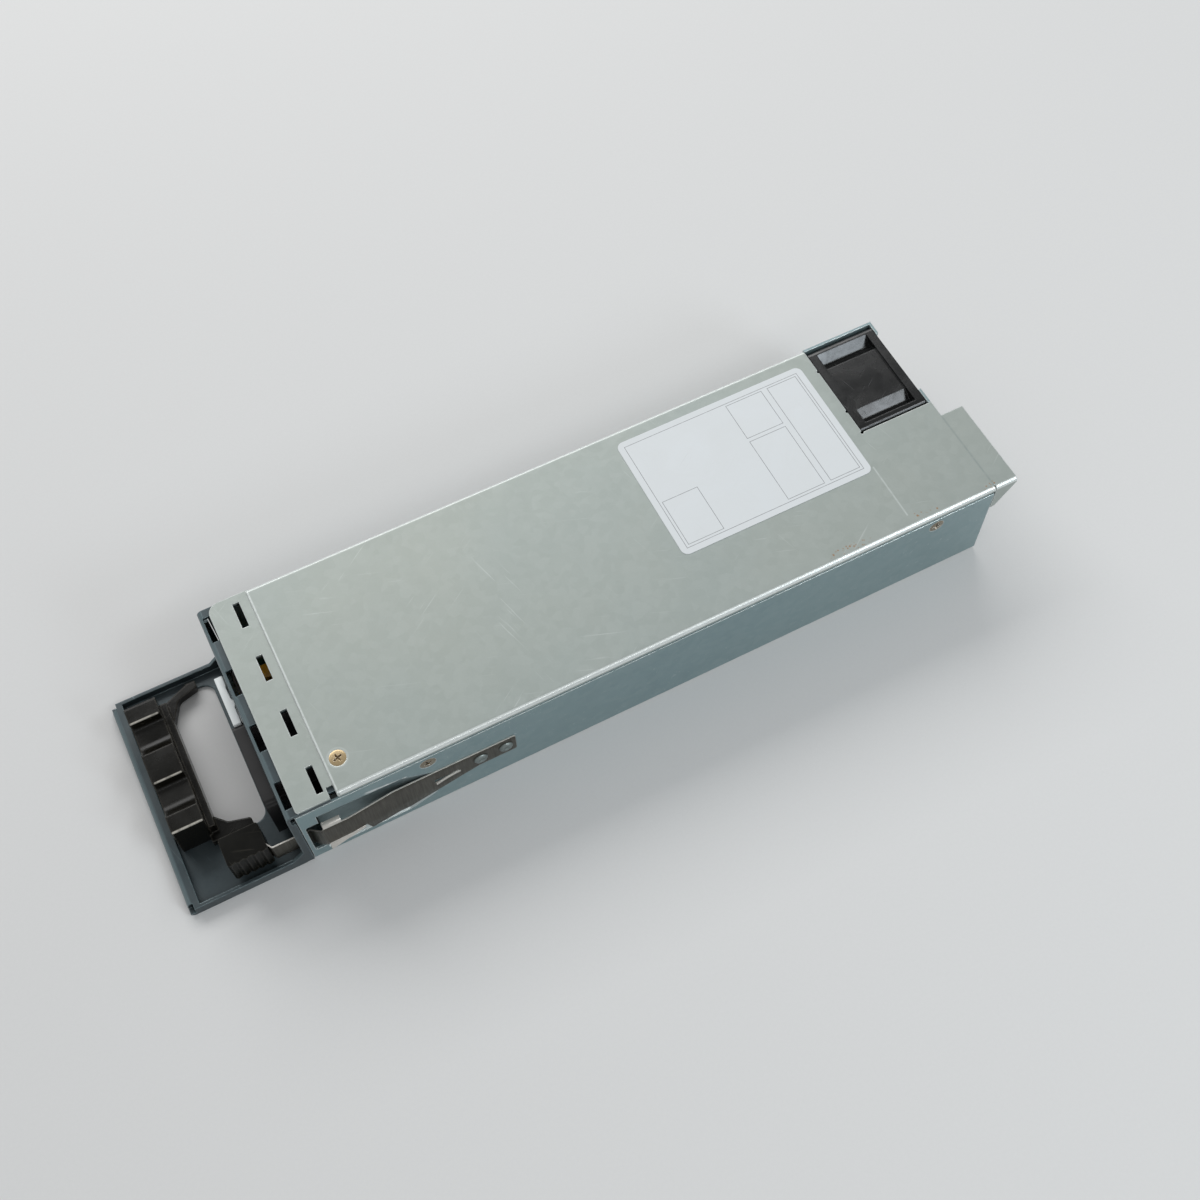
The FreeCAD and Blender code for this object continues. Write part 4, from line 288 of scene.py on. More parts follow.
    def patches(self, scale: Feed, detail: float, span: Span, to: Span = WHOLE) -> Socket:
        """Cut noise at the shaded point down to patches."""
        return self.remap(self.noise(self.place(), scale, detail), span, to)

    def effect(self, effect: "Effect", **sockets: Feed) -> list[Socket]:
        """Place a shared effect with this material's own values.

        Args:
            effect: The effect.
            **sockets: Input values or output sockets, by input name.

        Returns:
            The effect's outputs.
        """
        made = self.tree.nodes.new("ShaderNodeGroup")
        made.node_tree = effect.group()
        for name, value in sockets.items():
            self.feed(made.inputs[name], value)
        return list(made.outputs)

    def mask(self, effect: "Effect", **sockets: Feed) -> Socket:
        """Place a shared effect that has one output, and give that output."""
        return self.effect(effect, **sockets)[0]


# ---------------------------------------------------------------------------
# Effects that several finishes share
# ---------------------------------------------------------------------------


@dataclass(frozen=True)
class Effect:
    """A shader effect, built once as a node group and placed in each material that wants it.

    The inputs are given as name, kind and default, and the outputs as name and kind.
    """

    name: str
    inputs: tuple[tuple, ...]
    outputs: tuple[tuple[str, str], ...] = (("Mask", "Float"),)
    built: ClassVar[dict[str, Tree]] = {}

    def group(self) -> Tree:
        """Build the node group the first time it is asked for.

        Returns:
            The node group.
        """
        if self.name in self.built:
            return self.built[self.name]
        tree = bpy.data.node_groups.new(self.name, "ShaderNodeTree")
        for label, kind, default in self.inputs:
            socket = tree.interface.new_socket(label, in_out="INPUT", socket_type="NodeSocket" + kind)
            socket.default_value = default
        for label, kind in self.outputs:
            tree.interface.new_socket(label, in_out="OUTPUT", socket_type="NodeSocket" + kind)
        source = tree.nodes.new("NodeGroupInput")
        sink = tree.nodes.new("NodeGroupOutput")
        graph = Graph(tree)
        graph.fill(sink, self.draw(graph, source.outputs))
        self.built[self.name] = tree
        return tree

    def draw(self, graph: Graph, given: bpy.types.NodeOutputs) -> list[Socket]:
        """Draw the inside of the effect.

        Args:
            graph: The group's graph.
            given: The effect's inputs, by name.

        Returns:
            A socket for each output.
        """
        raise NotImplementedError


@dataclass(frozen=True)
class SoftEdge(Effect):
    """Rounded corners in the shading, and masks of the edges and of where they are rubbed."""

    name: str = "soft_edge"
    inputs: tuple[tuple, ...] = (("Radius", "Float", 0.0003), ("Breakup", "Float", 300.0))
    outputs: tuple[tuple[str, str], ...] = (("Normal", "Vector"), ("Edge", "Float"), ("Worn", "Float"))
    samples: int = 6
    turned: Span = (0.004, 0.07)
    rubbed: Span = (0.24, 0.5)

    def draw(self, graph: Graph, given: bpy.types.NodeOutputs) -> list[Socket]:
        """Compare the rounded normal with the true one.

        Args:
            graph: The group's graph.
            given: The effect's inputs, by name.

        Returns:
            The rounded normal, the mask of all edges and the mask of the rubbed ones.
        """
        rounded = graph.node("Bevel", {"samples": self.samples}, Radius=given["Radius"]).outputs[0]
        match = graph.vector("DOT_PRODUCT", rounded, graph.normal())
        edge = graph.remap(graph.minus(1.0, match), self.turned)
        patches = graph.noise(graph.place(), given["Breakup"], 4.0, 0.6)
        worn = graph.times(edge, graph.remap(patches, self.rubbed), True)
        return [rounded, edge, worn]


@dataclass(frozen=True)
class Folds(Effect):
    """A mask of bent sheet: faces that lie along none of the three main directions."""

    name: str = "folds"
    inputs: tuple[tuple, ...] = (("Flat", "Float", 0.97),)
    full: float = 0.999
    patch_scale: float = 60.0
    patch_span: Span = (0.3, 0.6)
    patch_share: Span = (0.94, 1.0)

    def draw(self, graph: Graph, given: bpy.types.NodeOutputs) -> list[Socket]:
        """Take the largest share of the true normal, and break the mask a little.

        Args:
            graph: The group's graph.
            given: The effect's inputs, by name.

        Returns:
            The mask.
        """
        largest = graph.largest(*graph.split(graph.vector("ABSOLUTE", graph.normal())))
        bent = graph.remap(largest, (given["Flat"], self.full), FADE)
        patches = graph.patches(self.patch_scale, 3.0, self.patch_span, self.patch_share)
        return [graph.times(bent, patches)]


@dataclass(frozen=True)
class Grain(Effect):
    """Fine grain, stretched along any axis."""

    name: str = "grain"
    inputs: tuple[tuple, ...] = (("Scale", "Float", 900.0), ("Stretch", "Vector", (1.0, 1.0, 1.0)))
    outputs: tuple[tuple[str, str], ...] = (("Value", "Float"),)
    coarse_scale: float = 0.23
    fine_share: float = 0.65
    coarse_share: float = 0.35
    span: Span = (0.3, 0.7)

    def draw(self, graph: Graph, given: bpy.types.NodeOutputs) -> list[Socket]:
        """Mix two scales of noise on a stretched point.

        Args:
            graph: The group's graph.
            given: The effect's inputs, by name.

        Returns:
            The grain.
        """
        where = graph.vector("MULTIPLY", graph.place(), given["Stretch"])
        fine = graph.noise(where, given["Scale"], 4.0, 0.62)
        coarse = graph.noise(where, graph.times(given["Scale"], self.coarse_scale), 2.0)
        mixed = graph.plus(graph.times(fine, self.fine_share), graph.times(coarse, self.coarse_share))
        return [graph.remap(mixed, self.span)]


@dataclass(frozen=True)
class Smudge(Effect):
    """Broad cloudy change of tone, as handling leaves."""

    name: str = "smudge"
    inputs: tuple[tuple, ...] = (("Scale", "Float", 30.0),)
    outputs: tuple[tuple[str, str], ...] = (("Value", "Float"),)
    warp_scale: float = 0.5
    warp_span: Span = (0.2, 0.8)
    warp_stretch: Span = (0.8, 1.25)
    span: Span = (0.3, 0.7)

    def draw(self, graph: Graph, given: bpy.types.NodeOutputs) -> list[Socket]:
        """Bend low noise by a second one.

        Args:
            graph: The group's graph.
            given: The effect's inputs, by name.

        Returns:
            The clouds.
        """
        warp = graph.noise(graph.place(), graph.times(given["Scale"], self.warp_scale), 2.0)
        where = graph.scaled(graph.place(), graph.remap(warp, self.warp_span, self.warp_stretch))
        return [graph.remap(graph.noise(where, given["Scale"], 5.0, 0.55), self.span)]


@dataclass(frozen=True)
class Scratches(Effect):
    """Thin broken scratches in three crossing directions.

    Each direction is given by its turn in radians and the shift of its pattern.
    """

    name: str = "scratches"
    inputs: tuple[tuple, ...] = (("Scale", "Float", 900.0), ("Threshold", "Float", 0.7))
    directions: tuple[tuple[float, Point], ...] = (
        (0.35, (3.1, 3.1 * 0.7, 0.0)), (-0.6, (7.7, 7.7 * 0.7, 0.0)), (1.3, (12.9, 12.9 * 0.7, 0.0)),
    )
    stretch: Point = (0.035, 1.0, 0.4)
    softness: float = 0.03
    gap_scale: float = 34.0
    gap_span: Span = (0.52, 0.66)

    def draw(self, graph: Graph, given: bpy.types.NodeOutputs) -> list[Socket]:
        """Threshold a strongly stretched noise for each direction, and break its lines.

        Args:
            graph: The group's graph.
            given: The effect's inputs, by name.

        Returns:
            The mask.
        """
        masks = []
        for turn, shift in self.directions:
            spun = graph.node("VectorRotate", {"rotation_type": "Z_AXIS"},
                              Vector=graph.place(), Angle=turn).outputs[0]
            moved = graph.vector("ADD", spun, shift)
            line = graph.noise(graph.vector("MULTIPLY", moved, self.stretch), given["Scale"], 2.0)
            limit = given["Threshold"]
            thin = graph.remap(line, (limit, graph.plus(limit, self.softness)))
            gap = graph.remap(graph.noise(moved, self.gap_scale, 2.0), self.gap_span)
            masks.append(graph.times(thin, gap))
        return [graph.largest(*masks)]


@dataclass(frozen=True)
class Spangle(Effect):
    """The faint crystal pattern of a zinc coat."""

    name: str = "spangle"
    inputs: tuple[tuple, ...] = (("Scale", "Float", 420.0),)
    outputs: tuple[tuple[str, str], ...] = (("Value", "Float"), ("Second", "Float"))
    warp_scale: float = 260.0
    warp_reach: float = 0.0016
    softness: float = 0.35

    def draw(self, graph: Graph, given: bpy.types.NodeOutputs) -> list[Socket]:
        """Draw cells of slightly different tone, with softened borders.

        Args:
            graph: The group's graph.
            given: The effect's inputs, by name.

        Returns:
            Two values that each change from cell to cell.
        """
        warp = graph.node("TexNoise", Vector=graph.place(), Scale=self.warp_scale, Detail=2.0)
        drift = graph.scaled(warp.outputs[1], self.warp_reach)
        where = graph.vector("ADD", graph.place(), drift)
        cells = graph.node("TexVoronoi", {"feature": "SMOOTH_F1"}, Vector=where,
                           Scale=given["Scale"], Smoothness=self.softness)
        return graph.channels(cells.outputs["Color"])[:2]


@dataclass(frozen=True)
class Dust(Effect):
    """Dust that lies on surfaces that face up."""

    name: str = "dust"
    inputs: tuple[tuple, ...] = (("Specks", "Float", 700.0),)
    level: Span = (0.35, 0.95)
    cloud_scale: float = 70.0
    cloud_span: Span = (0.38, 0.7)
    cloud_share: float = 0.6
    speck_span: Span = (0.06, 0.14)
    speck_share: float = 0.5

    def draw(self, graph: Graph, given: bpy.types.NodeOutputs) -> list[Socket]:
        """Mask what faces up, and break it by clouds and specks.

        Args:
            graph: The group's graph.
            given: The effect's inputs, by name.

        Returns:
            The mask.
        """
        flat = graph.remap(graph.split(graph.normal())[2], self.level)
        cloud = graph.remap(graph.noise(graph.place(), self.cloud_scale, 5.0, 0.65), self.cloud_span)
        cells = graph.node("TexVoronoi", Vector=graph.place(), Scale=given["Specks"])
        specks = graph.remap(cells.outputs["Distance"], self.speck_span, FADE)
        mixed = graph.plus(graph.times(cloud, self.cloud_share),
                           graph.times(specks, self.speck_share), True)
        return [graph.times(flat, mixed)]


@dataclass(frozen=True)
class Scribed(Effect):
    """One straight scribed line between two points of the surface."""

    name: str = "scribed"
    inputs: tuple[tuple, ...] = (("Start", "Vector", (0.0, 0.0, 0.0)),
                                 ("End", "Vector", (0.01, 0.0, 0.0)), ("Width", "Float", 0.0002))
    side: Span = (0.35, 1.0)
    patch_scale: float = 500.0
    patch_span: Span = (0.25, 0.5)
    patch_share: Span = (0.35, 1.0)

    def draw(self, graph: Graph, given: bpy.types.NodeOutputs) -> list[Socket]:
        """Measure from the shaded point to the stretch between the ends.

        Args:
            graph: The group's graph.
            given: The effect's inputs, by name.

        Returns:
            The mask.
        """
        reach = graph.vector("SUBTRACT", given["End"], given["Start"])
        offset = graph.vector("SUBTRACT", graph.place(), given["Start"])
        along = graph.vector("DOT_PRODUCT", offset, reach)
        whole = graph.vector("DOT_PRODUCT", reach, reach)
        foot = graph.scaled(reach, graph.maths("DIVIDE", along, whole, True))
        away = graph.vector("DISTANCE", offset, foot)
        line = graph.remap(graph.maths("DIVIDE", away, given["Width"]), self.side, FADE)
        patches = graph.patches(self.patch_scale, 3.0, self.patch_span, self.patch_share)
        return [graph.times(line, patches)]


@dataclass(frozen=True)
class Spots(Effect):
    """Small spots gathered round one point."""

    name: str = "spots"
    inputs: tuple[tuple, ...] = (("Scale", "Float", 900.0), ("Centre", "Vector", (0.0, 0.0, 0.0)),
                                 ("Reach", "Vector", (0.01, 0.01, 0.01)))
    sizes: Span = (0.2, 0.52)
    rim: Span = (0.4, 1.0)
    border: Span = (0.75, 1.1)
    chance_scale: float = 420.0
    chance_span: Span = (0.3, 0.4)

    def draw(self, graph: Graph, given: bpy.types.NodeOutputs) -> list[Socket]:
        """Draw dots of several sizes, and fade them by the distance to the centre.

        Args:
            graph: The group's graph.
            given: The effect's inputs, by name.

        Returns:
            The mask.
        """
        cells = graph.node("TexVoronoi", Vector=graph.place(), Scale=given["Scale"])
        size = graph.remap(graph.channels(cells.outputs["Color"])[0], WHOLE, self.sizes)
        ratio = graph.maths("DIVIDE", cells.outputs["Distance"], size)
        dots = graph.remap(ratio, self.rim, FADE)
        offset = graph.vector("SUBTRACT", graph.place(), given["Centre"])
        away = graph.vector("LENGTH", graph.vector("DIVIDE", offset, given["Reach"]))
        near = graph.remap(away, self.border, FADE)
        chance = graph.patches(self.chance_scale, 2.0, self.chance_span)
        return [graph.times(dots, graph.times(near, chance))]


SOFT_EDGE = SoftEdge()
FOLDS = Folds()
GRAIN = Grain()
SMUDGE = Smudge()
SCRATCHES = Scratches()
SPANGLE = Spangle()
DUST = Dust()
SCRIBED = Scribed()
SPOTS = Spots()


# ---------------------------------------------------------------------------
# Finishes
# ---------------------------------------------------------------------------


@dataclass(frozen=True)
class Finish:
    """A surface finish. Each kind draws its own shader, and each finish has one material."""

    name: str
    built: ClassVar[dict[str, bpy.types.Material]] = {}

    def material(self) -> bpy.types.Material:
        """Build this finish's material the first time it is asked for.

        Returns:
            The material.
        """
        if self.name in self.built:
            return self.built[self.name]
        made = bpy.data.materials.new(self.name)
        made.use_nodes = True
        made.node_tree.nodes.clear()
        graph = Graph(made.node_tree)
        shader = graph.node("BsdfPrincipled")
        graph.node("OutputMaterial", Surface=shader.outputs[0])
        self.draw(graph, shader)
        self.built[self.name] = made
        return made

    def draw(self, graph: Graph, shader: Node) -> None:
        """Draw the finish's nodes into the shader.

        Args:
            graph: The material's graph.
            shader: The Principled shader.
        """
        raise NotImplementedError

    def bump(self, graph: Graph, shader: Node, height: Feed, distance: float, strength: float,
             normal: Socket | None = None) -> None:
        """Feed a height into the shader's normal.

        Args:
            graph: The material's graph.
            shader: The Principled shader.
            height: Socket of the height, from 0 to 1.
            distance: Height of a full step in metres.
            strength: Share of the relief that shows.
            normal: Socket of a base normal, such as the softened one.
        """
        relief = graph.node("Bump", Strength=strength, Distance=distance, Height=height)
        if normal is not None:
            graph.feed(relief.inputs["Normal"], normal)
        graph.feed(shader.inputs["Normal"], relief.outputs[0])


@dataclass(frozen=True)
class SheetFinish(Finish):
    """Zinc-coated or painted sheet steel with rubbed edges, and a painted highlight on its bends."""

    base: Colour
    cool: Colour
    # The colour of crystals, scratches and rubbed edges, and also of the painted highlight on bends.
    edge: Colour
    metallic: float
    roughness: float
    cloud_scale: float = 9.0
    handled_scale: float = 55.0
    grain_scale: float = 1500.0
    grain_share: float = 0.05
    spangle_scale: float = 360.0
    spangle_share: float = 0.1
    dirt: Colour = (0.06, 0.055, 0.045, 1.0)
    dirt_share: float = 0.035
    scratch_scale: float = 1300.0
    scratch_limit: float = 0.68
    scratch_share: float = 0.16
    edge_radius: float = 0.0005
    edge_breakup: float = 240.0
    edge_share: float = 0.8
    fold_limit: float = 0.96
    fold_highlight_share: float = 0.55
    dust: Colour = paint(196, 196, 190)
    dust_specks: float = 520.0
    dust_share: float = 0.05
    dusty_metallic: float = 0.7
    crystal_rough: float = 0.02
    handled_rough: Span = (-0.015, 0.02)
    edge_polish: float = 0.12
    fold_polish: float = 0.16
    grain_height: float = 0.6
    crystal_height: float = 0.15
    scratch_depth: float = 0.4
    fold_relief: Span = (1.0, 0.15)
    relief_depth: float = 0.00003
    relief_share: float = 0.35

    def draw(self, graph: Graph, shader: Node) -> None:
        """Place the shared effects, and draw the colour, the shine and the relief from them.

        Args:
            graph: The material's graph.
            shader: The Principled shader.
        """
        normal, edge, worn = graph.effect(SOFT_EDGE, Radius=self.edge_radius,
                                          Breakup=self.edge_breakup)
        crystal, second = graph.effect(SPANGLE, Scale=self.spangle_scale)
        masks = {
            "edge": edge, "worn": worn, "crystal": crystal, "second": second,
            "cloud": graph.mask(SMUDGE, Scale=self.cloud_scale),
            "handled": graph.mask(SMUDGE, Scale=self.handled_scale),
            "grain": graph.mask(GRAIN, Scale=self.grain_scale),
            "lines": graph.mask(SCRATCHES, Scale=self.scratch_scale, Threshold=self.scratch_limit),
            "dusty": graph.mask(DUST, Specks=self.dust_specks),
            "bent": graph.mask(FOLDS, Flat=self.fold_limit),
        }
        tone, pressed = self.marks(graph, self.tone(graph, masks))
        graph.feed(shader.inputs["Base Color"], tone)
        graph.feed(shader.inputs["Metallic"], graph.remap(
            masks["dusty"], WHOLE, (self.metallic, self.metallic * self.dusty_metallic)))
        graph.feed(shader.inputs["Roughness"], self.rough(graph, masks))
        height = self.height(graph, masks, pressed)
        self.bump(graph, shader, height, self.relief_depth, self.relief_share, normal)

    def tone(self, graph: Graph, masks: dict[str, Socket]) -> Socket:
        """Lay crystals, dirt, scratches, rubbed edges, a painted highlight on the folds and dust over
        a cloudy base.

        Args:
            graph: The material's graph.
            masks: The placed effects, by name.

        Returns:
            The colour.
        """
        tone = graph.blend(masks["cloud"], self.base, self.cool)
        tone = graph.lay(tone, masks["crystal"], self.spangle_share * 0.5, self.edge)
        dirty = graph.remap(masks["handled"], WHOLE, (0.0, self.dirt_share))
        tone = graph.blend(dirty, tone, self.dirt)
        tone = graph.lay(tone, masks["grain"], self.grain_share, self.dirt)
        tone = graph.lay(tone, masks["lines"], self.scratch_share, self.edge)
        flat = graph.minus(1.0, masks["bent"], True)
        tone = graph.lay(tone, graph.times(masks["worn"], flat), self.edge_share, self.edge)
        # Painted highlight: bent faces are lightened towards the edge colour.
        tone = graph.lay(tone, masks["bent"], self.fold_highlight_share, self.edge)
        return graph.lay(tone, masks["dusty"], self.dust_share, self.dust)

    def rough(self, graph: Graph, masks: dict[str, Socket]) -> Socket:
        """Vary the roughness from crystal to crystal, and smooth the edges and the folds.

        Args:
            graph: The material's graph.
            masks: The placed effects, by name.

        Returns:
            The roughness.
        """
        ends = (self.roughness - self.crystal_rough, self.roughness + self.crystal_rough)
        rough = graph.remap(masks["second"], WHOLE, ends)
        rough = graph.plus(rough, graph.remap(masks["handled"], WHOLE, self.handled_rough))
        rough = graph.minus(rough, graph.times(masks["edge"], self.edge_polish))
        return graph.minus(rough, graph.times(masks["bent"], self.fold_polish), True)

    def height(self, graph: Graph, masks: dict[str, Socket], pressed: Feed) -> Socket:
        """Raise the grain and the crystals, and cut in the scratches and the panel's own marks.

        Args:
            graph: The material's graph.
            masks: The placed effects, by name.
            pressed: Depth of the panel's own marks.

        Returns:
            The height.
        """
        height = graph.plus(graph.times(masks["grain"], self.grain_height),
                            graph.times(masks["crystal"], self.crystal_height))
        height = graph.minus(height, graph.times(masks["lines"], self.scratch_depth))
        height = graph.minus(height, pressed)
        return graph.times(height, graph.remap(masks["bent"], WHOLE, self.fold_relief))

    def marks(self, graph: Graph, tone: Socket) -> tuple[Socket, Feed]:
        """Give back the tone alone: a plain sheet has no marks of its own."""
        return tone, 0.0


@dataclass(frozen=True)
class CoverFinish(SheetFinish):
    """The top cover's sheet: a scribed line, a crease with painted shade, painted highlights along the
    strip's edge and joggle, a screw dimple with a painted highlight on its rim, and rust.

    Each patch of rust is given by its middle and its reach along each axis.
    """

    scribe: Line = ((0.2304, -0.0142, 0.04), (0.2303, -0.0362, 0.04))
    scribe_width: float = 0.00042
    scribe_tone: Colour = paint(206, 213, 210)
    scribe_share: float = 0.45
    # The crease is pressed in by the relief and darkened by painted shade.
    crease: Line = ((0.2634, -0.0068, 0.04), (0.2634, -0.0405, 0.04))
    crease_width: float = 0.0005
    crease_shade: Colour = paint(120, 132, 132)
    crease_shade_share: float = 0.35
    crease_depth: float = 0.8
    # Painted highlights along the rear strip's edge and along the joggle.
    strip_highlights: tuple[Line, ...] = (
        ((0.00405, -0.0395, 0.04), (0.00405, 0.0412, 0.04)),
        ((0.01815, -0.0395, 0.04), (0.01815, 0.0412, 0.04)),
    )
    strip_highlight_width: float = 0.00045
    strip_highlight_share: float = 0.42
    # The dimple's raised rim carries a painted highlight.
    dimple: Point = (0.0225, -0.0297, 0.04)
    dimple_radius: float = 0.0033
    dimple_rim: Span = (0.0001, 0.0005)
    dimple_highlight_tone: Colour = paint(214, 220, 217)
    dimple_highlight_share: float = 0.2
    rust: Colour = paint(152, 114, 78)
    rust_scale: float = 900.0
    rust_share: float = 0.9
    rust_places: tuple[tuple[Point, Point], ...] = (
        ((0.2058, -0.0384, 0.04), (0.0085, 0.0016, 0.004)),
        ((0.2336, -0.0379, 0.04), (0.0020, 0.0014, 0.004)),
        ((0.2394, -0.0383, 0.04), (0.0030, 0.0010, 0.004)),
        ((0.2620, -0.0392, 0.04), (0.0030, 0.0018, 0.004)),
    )

    def marks(self, graph: Graph, tone: Socket) -> tuple[Socket, Feed]:
        """Draw the cover's own marks over its tone.

        Args:
            graph: The material's graph.
            tone: The colour so far.

        Returns:
            The colour, and how deep the marks are pressed in.
        """
        line = graph.mask(SCRIBED, Start=self.scribe[0], End=self.scribe[1], Width=self.scribe_width)
        fold = graph.mask(SCRIBED, Start=self.crease[0], End=self.crease[1], Width=self.crease_width)
        tone = graph.lay(tone, line, self.scribe_share, self.scribe_tone)
        # Painted shade along the crease.
        tone = graph.lay(tone, fold, self.crease_shade_share, self.crease_shade)
        # Painted highlights along the strip's edge and the joggle.
        for start, end in self.strip_highlights:
            cut = graph.mask(SCRIBED, Start=start, End=end, Width=self.strip_highlight_width)
            tone = graph.lay(tone, cut, self.strip_highlight_share, self.edge)
        rim = self.rim(graph)
        # Painted highlight on the dimple's raised rim.
        tone = graph.lay(tone, rim, self.dimple_highlight_share, self.dimple_highlight_tone)
        for centre, reach in self.rust_places:
            spots = graph.mask(SPOTS, Scale=self.rust_scale, Centre=centre, Reach=reach)
            tone = graph.lay(tone, spots, self.rust_share, self.rust)
        pressed = graph.plus(line, graph.times(fold, self.crease_depth))
        return tone, graph.plus(pressed, graph.times(rim, -1.0))

    def rim(self, graph: Graph) -> Socket:
        """Mask the raised ring round the screw's dimple.

        Args:
            graph: The material's graph.

        Returns:
            The mask.
        """
        offset = graph.vector("SUBTRACT", graph.place(), self.dimple)
        away = graph.minus(graph.vector("LENGTH", offset), self.dimple_radius)
        return graph.remap(graph.maths("ABSOLUTE", away), self.dimple_rim, FADE)


@dataclass(frozen=True)
class WallFinish(SheetFinish):
    """The chassis' sheet, with painted highlight streaks along the upper edge of the latch's recess.

    Each streak is given by its two ends and its width.
    """

    # Painted highlights: light streaks along the upper edge of the latch's recess.
    recess_highlights: tuple[tuple[Point, Point, float], ...] = (
        ((0.0262, -0.04125, 0.0314), (0.0330, -0.04125, 0.0304), 0.0011),
        ((0.0325, -0.04125, 0.0305), (0.0368, -0.04125, 0.0297), 0.0009),
        ((0.0368, -0.04125, 0.0297), (0.0395, -0.04125, 0.0298), 0.0005),
    )
    recess_highlight_tone: Colour = paint(236, 240, 238)
    recess_highlight_share: float = 0.7
    streak_height: float = 0.6

    def marks(self, graph: Graph, tone: Socket) -> tuple[Socket, Feed]:
        """Draw the painted highlight streaks above the recess.

        Args:
            graph: The material's graph.
            tone: The colour so far.

        Returns:
            The colour, and how deep the streaks are pressed in: below 0, as they stand out.
        """
        pressed: Feed = 0.0
        for start, end, width in self.recess_highlights:
            line = graph.mask(SCRIBED, Start=start, End=end, Width=width)
            tone = graph.lay(tone, line, self.recess_highlight_share, self.recess_highlight_tone)
            pressed = graph.minus(pressed, graph.times(line, self.streak_height))
        return tone, pressed


@dataclass(frozen=True)
class MetalFinish(Finish):
    """Plated, turned or rolled metal with a direction to its grain."""

    base: Colour
    edge: Colour
    roughness: float
    metallic: float = 1.0
    stretch: Point = (1.0, 1.0, 1.0)
    grain_scale: float = 2200.0
    contrast: float = 0.25
    edge_radius: float = 0.0002
    edge_breakup: float = 420.0
    edge_share: float = 0.7
    stain: Colour = (0.03, 0.028, 0.024, 1.0)
    stain_scale: float = 90.0
    stain_share: float = 0.2
    stained_metallic: float = 0.85
    grain_rough: Span = (-0.06, 0.1)
    stain_rough: float = 0.08
    relief_depth: float = 0.00002
    relief_share: float = 0.4

    def draw(self, graph: Graph, shader: Node) -> None:
        """Draw grain along the working direction, stains and bright edges.

        Args:
            graph: The material's graph.
            shader: The Principled shader.
        """
        normal, edge, _ = graph.effect(SOFT_EDGE, Radius=self.edge_radius, Breakup=self.edge_breakup)
        grain = graph.mask(GRAIN, Scale=self.grain_scale, Stretch=self.stretch)
        cloud = graph.mask(SMUDGE, Scale=self.stain_scale)
        tone = graph.lay(self.base, grain, self.contrast, self.stain)
        tone = graph.lay(tone, cloud, self.stain_share, self.stain)
        tone = graph.lay(tone, edge, self.edge_share, self.edge)
        graph.feed(shader.inputs["Base Color"], tone)
        graph.feed(shader.inputs["Metallic"], graph.remap(
            cloud, WHOLE, (self.metallic, self.metallic * self.stained_metallic)))
        low, high = self.grain_rough
        rough = graph.remap(grain, WHOLE, (self.roughness + low, self.roughness + high))
        rough = graph.plus(rough, graph.times(cloud, self.stain_rough), True)
        graph.feed(shader.inputs["Roughness"], rough)
        self.bump(graph, shader, grain, self.relief_depth, self.relief_share, normal)


@dataclass(frozen=True)
class MouldedFinish(Finish):
    """Moulded plastic, rubber or sintered stuff with a fine skin."""

    base: Colour
    rubbed: Colour
    roughness: float
    coat: float = 0.0
    coat_smudged: float = 0.6
    coat_roughness: float = 0.12
    shine: float = 0.5
    smudge_scale: float = 70.0
    smudge_rough: Span = (-0.06, 0.1)
    skin_share: float = 0.12
    skin_scale: float = 3200.0
    skin_depth: float = 0.00002
    skin_relief: float = 0.45
    edge_radius: float = 0.0004
    edge_breakup: float = 360.0
    edge_share: float = 0.4
    scratch_scale: float = 1600.0
    scratch_limit: float = 0.66
    scratch_share: float = 0.3
    scratch_rough: float = 0.15
    dust: Colour = paint(150, 148, 140)
    dust_specks: float = 900.0
    dust_share: float = 0.12
    dust_rough: float = 0.18

    def draw(self, graph: Graph, shader: Node) -> None:
        """Draw skin grain, rubbed corners, finger smudges and dust.

        Args:
            graph: The material's graph.
            shader: The Principled shader.
        """
        normal, _, worn = graph.effect(SOFT_EDGE, Radius=self.edge_radius, Breakup=self.edge_breakup)
        skin = graph.mask(GRAIN, Scale=self.skin_scale)
        cloud = graph.mask(SMUDGE, Scale=self.smudge_scale)
        lines = graph.mask(SCRATCHES, Scale=self.scratch_scale, Threshold=self.scratch_limit)
        dusty = graph.mask(DUST, Specks=self.dust_specks)
        tone = graph.lay(self.base, skin, self.skin_share, self.rubbed)
        tone = graph.lay(tone, cloud, self.skin_share, self.rubbed)
        tone = graph.lay(tone, worn, self.edge_share, self.rubbed)
        tone = graph.lay(tone, lines, self.scratch_share, self.rubbed)
        tone = graph.lay(tone, dusty, self.dust_share, self.dust)
        graph.feed(shader.inputs["Base Color"], self.marks(graph, tone))
        low, high = self.smudge_rough
        rough = graph.remap(cloud, WHOLE, (self.roughness + low, self.roughness + high))
        rough = graph.plus(rough, graph.times(dusty, self.dust_rough))
        rough = graph.plus(rough, graph.times(lines, self.scratch_rough), True)
        graph.feed(shader.inputs["Roughness"], rough)
        shader.inputs["Specular IOR Level"].default_value = self.shine
        if self.coat > 0.0:
            graph.feed(shader.inputs["Coat Weight"],
                       graph.remap(cloud, WHOLE, (self.coat, self.coat * self.coat_smudged)))
            shader.inputs["Coat Roughness"].default_value = self.coat_roughness
        self.bump(graph, shader, skin, self.skin_depth, self.skin_relief, normal)

    def marks(self, graph: Graph, tone: Socket) -> Socket:
        """Give back the tone alone: a plain moulding has no marks of its own."""
        return tone


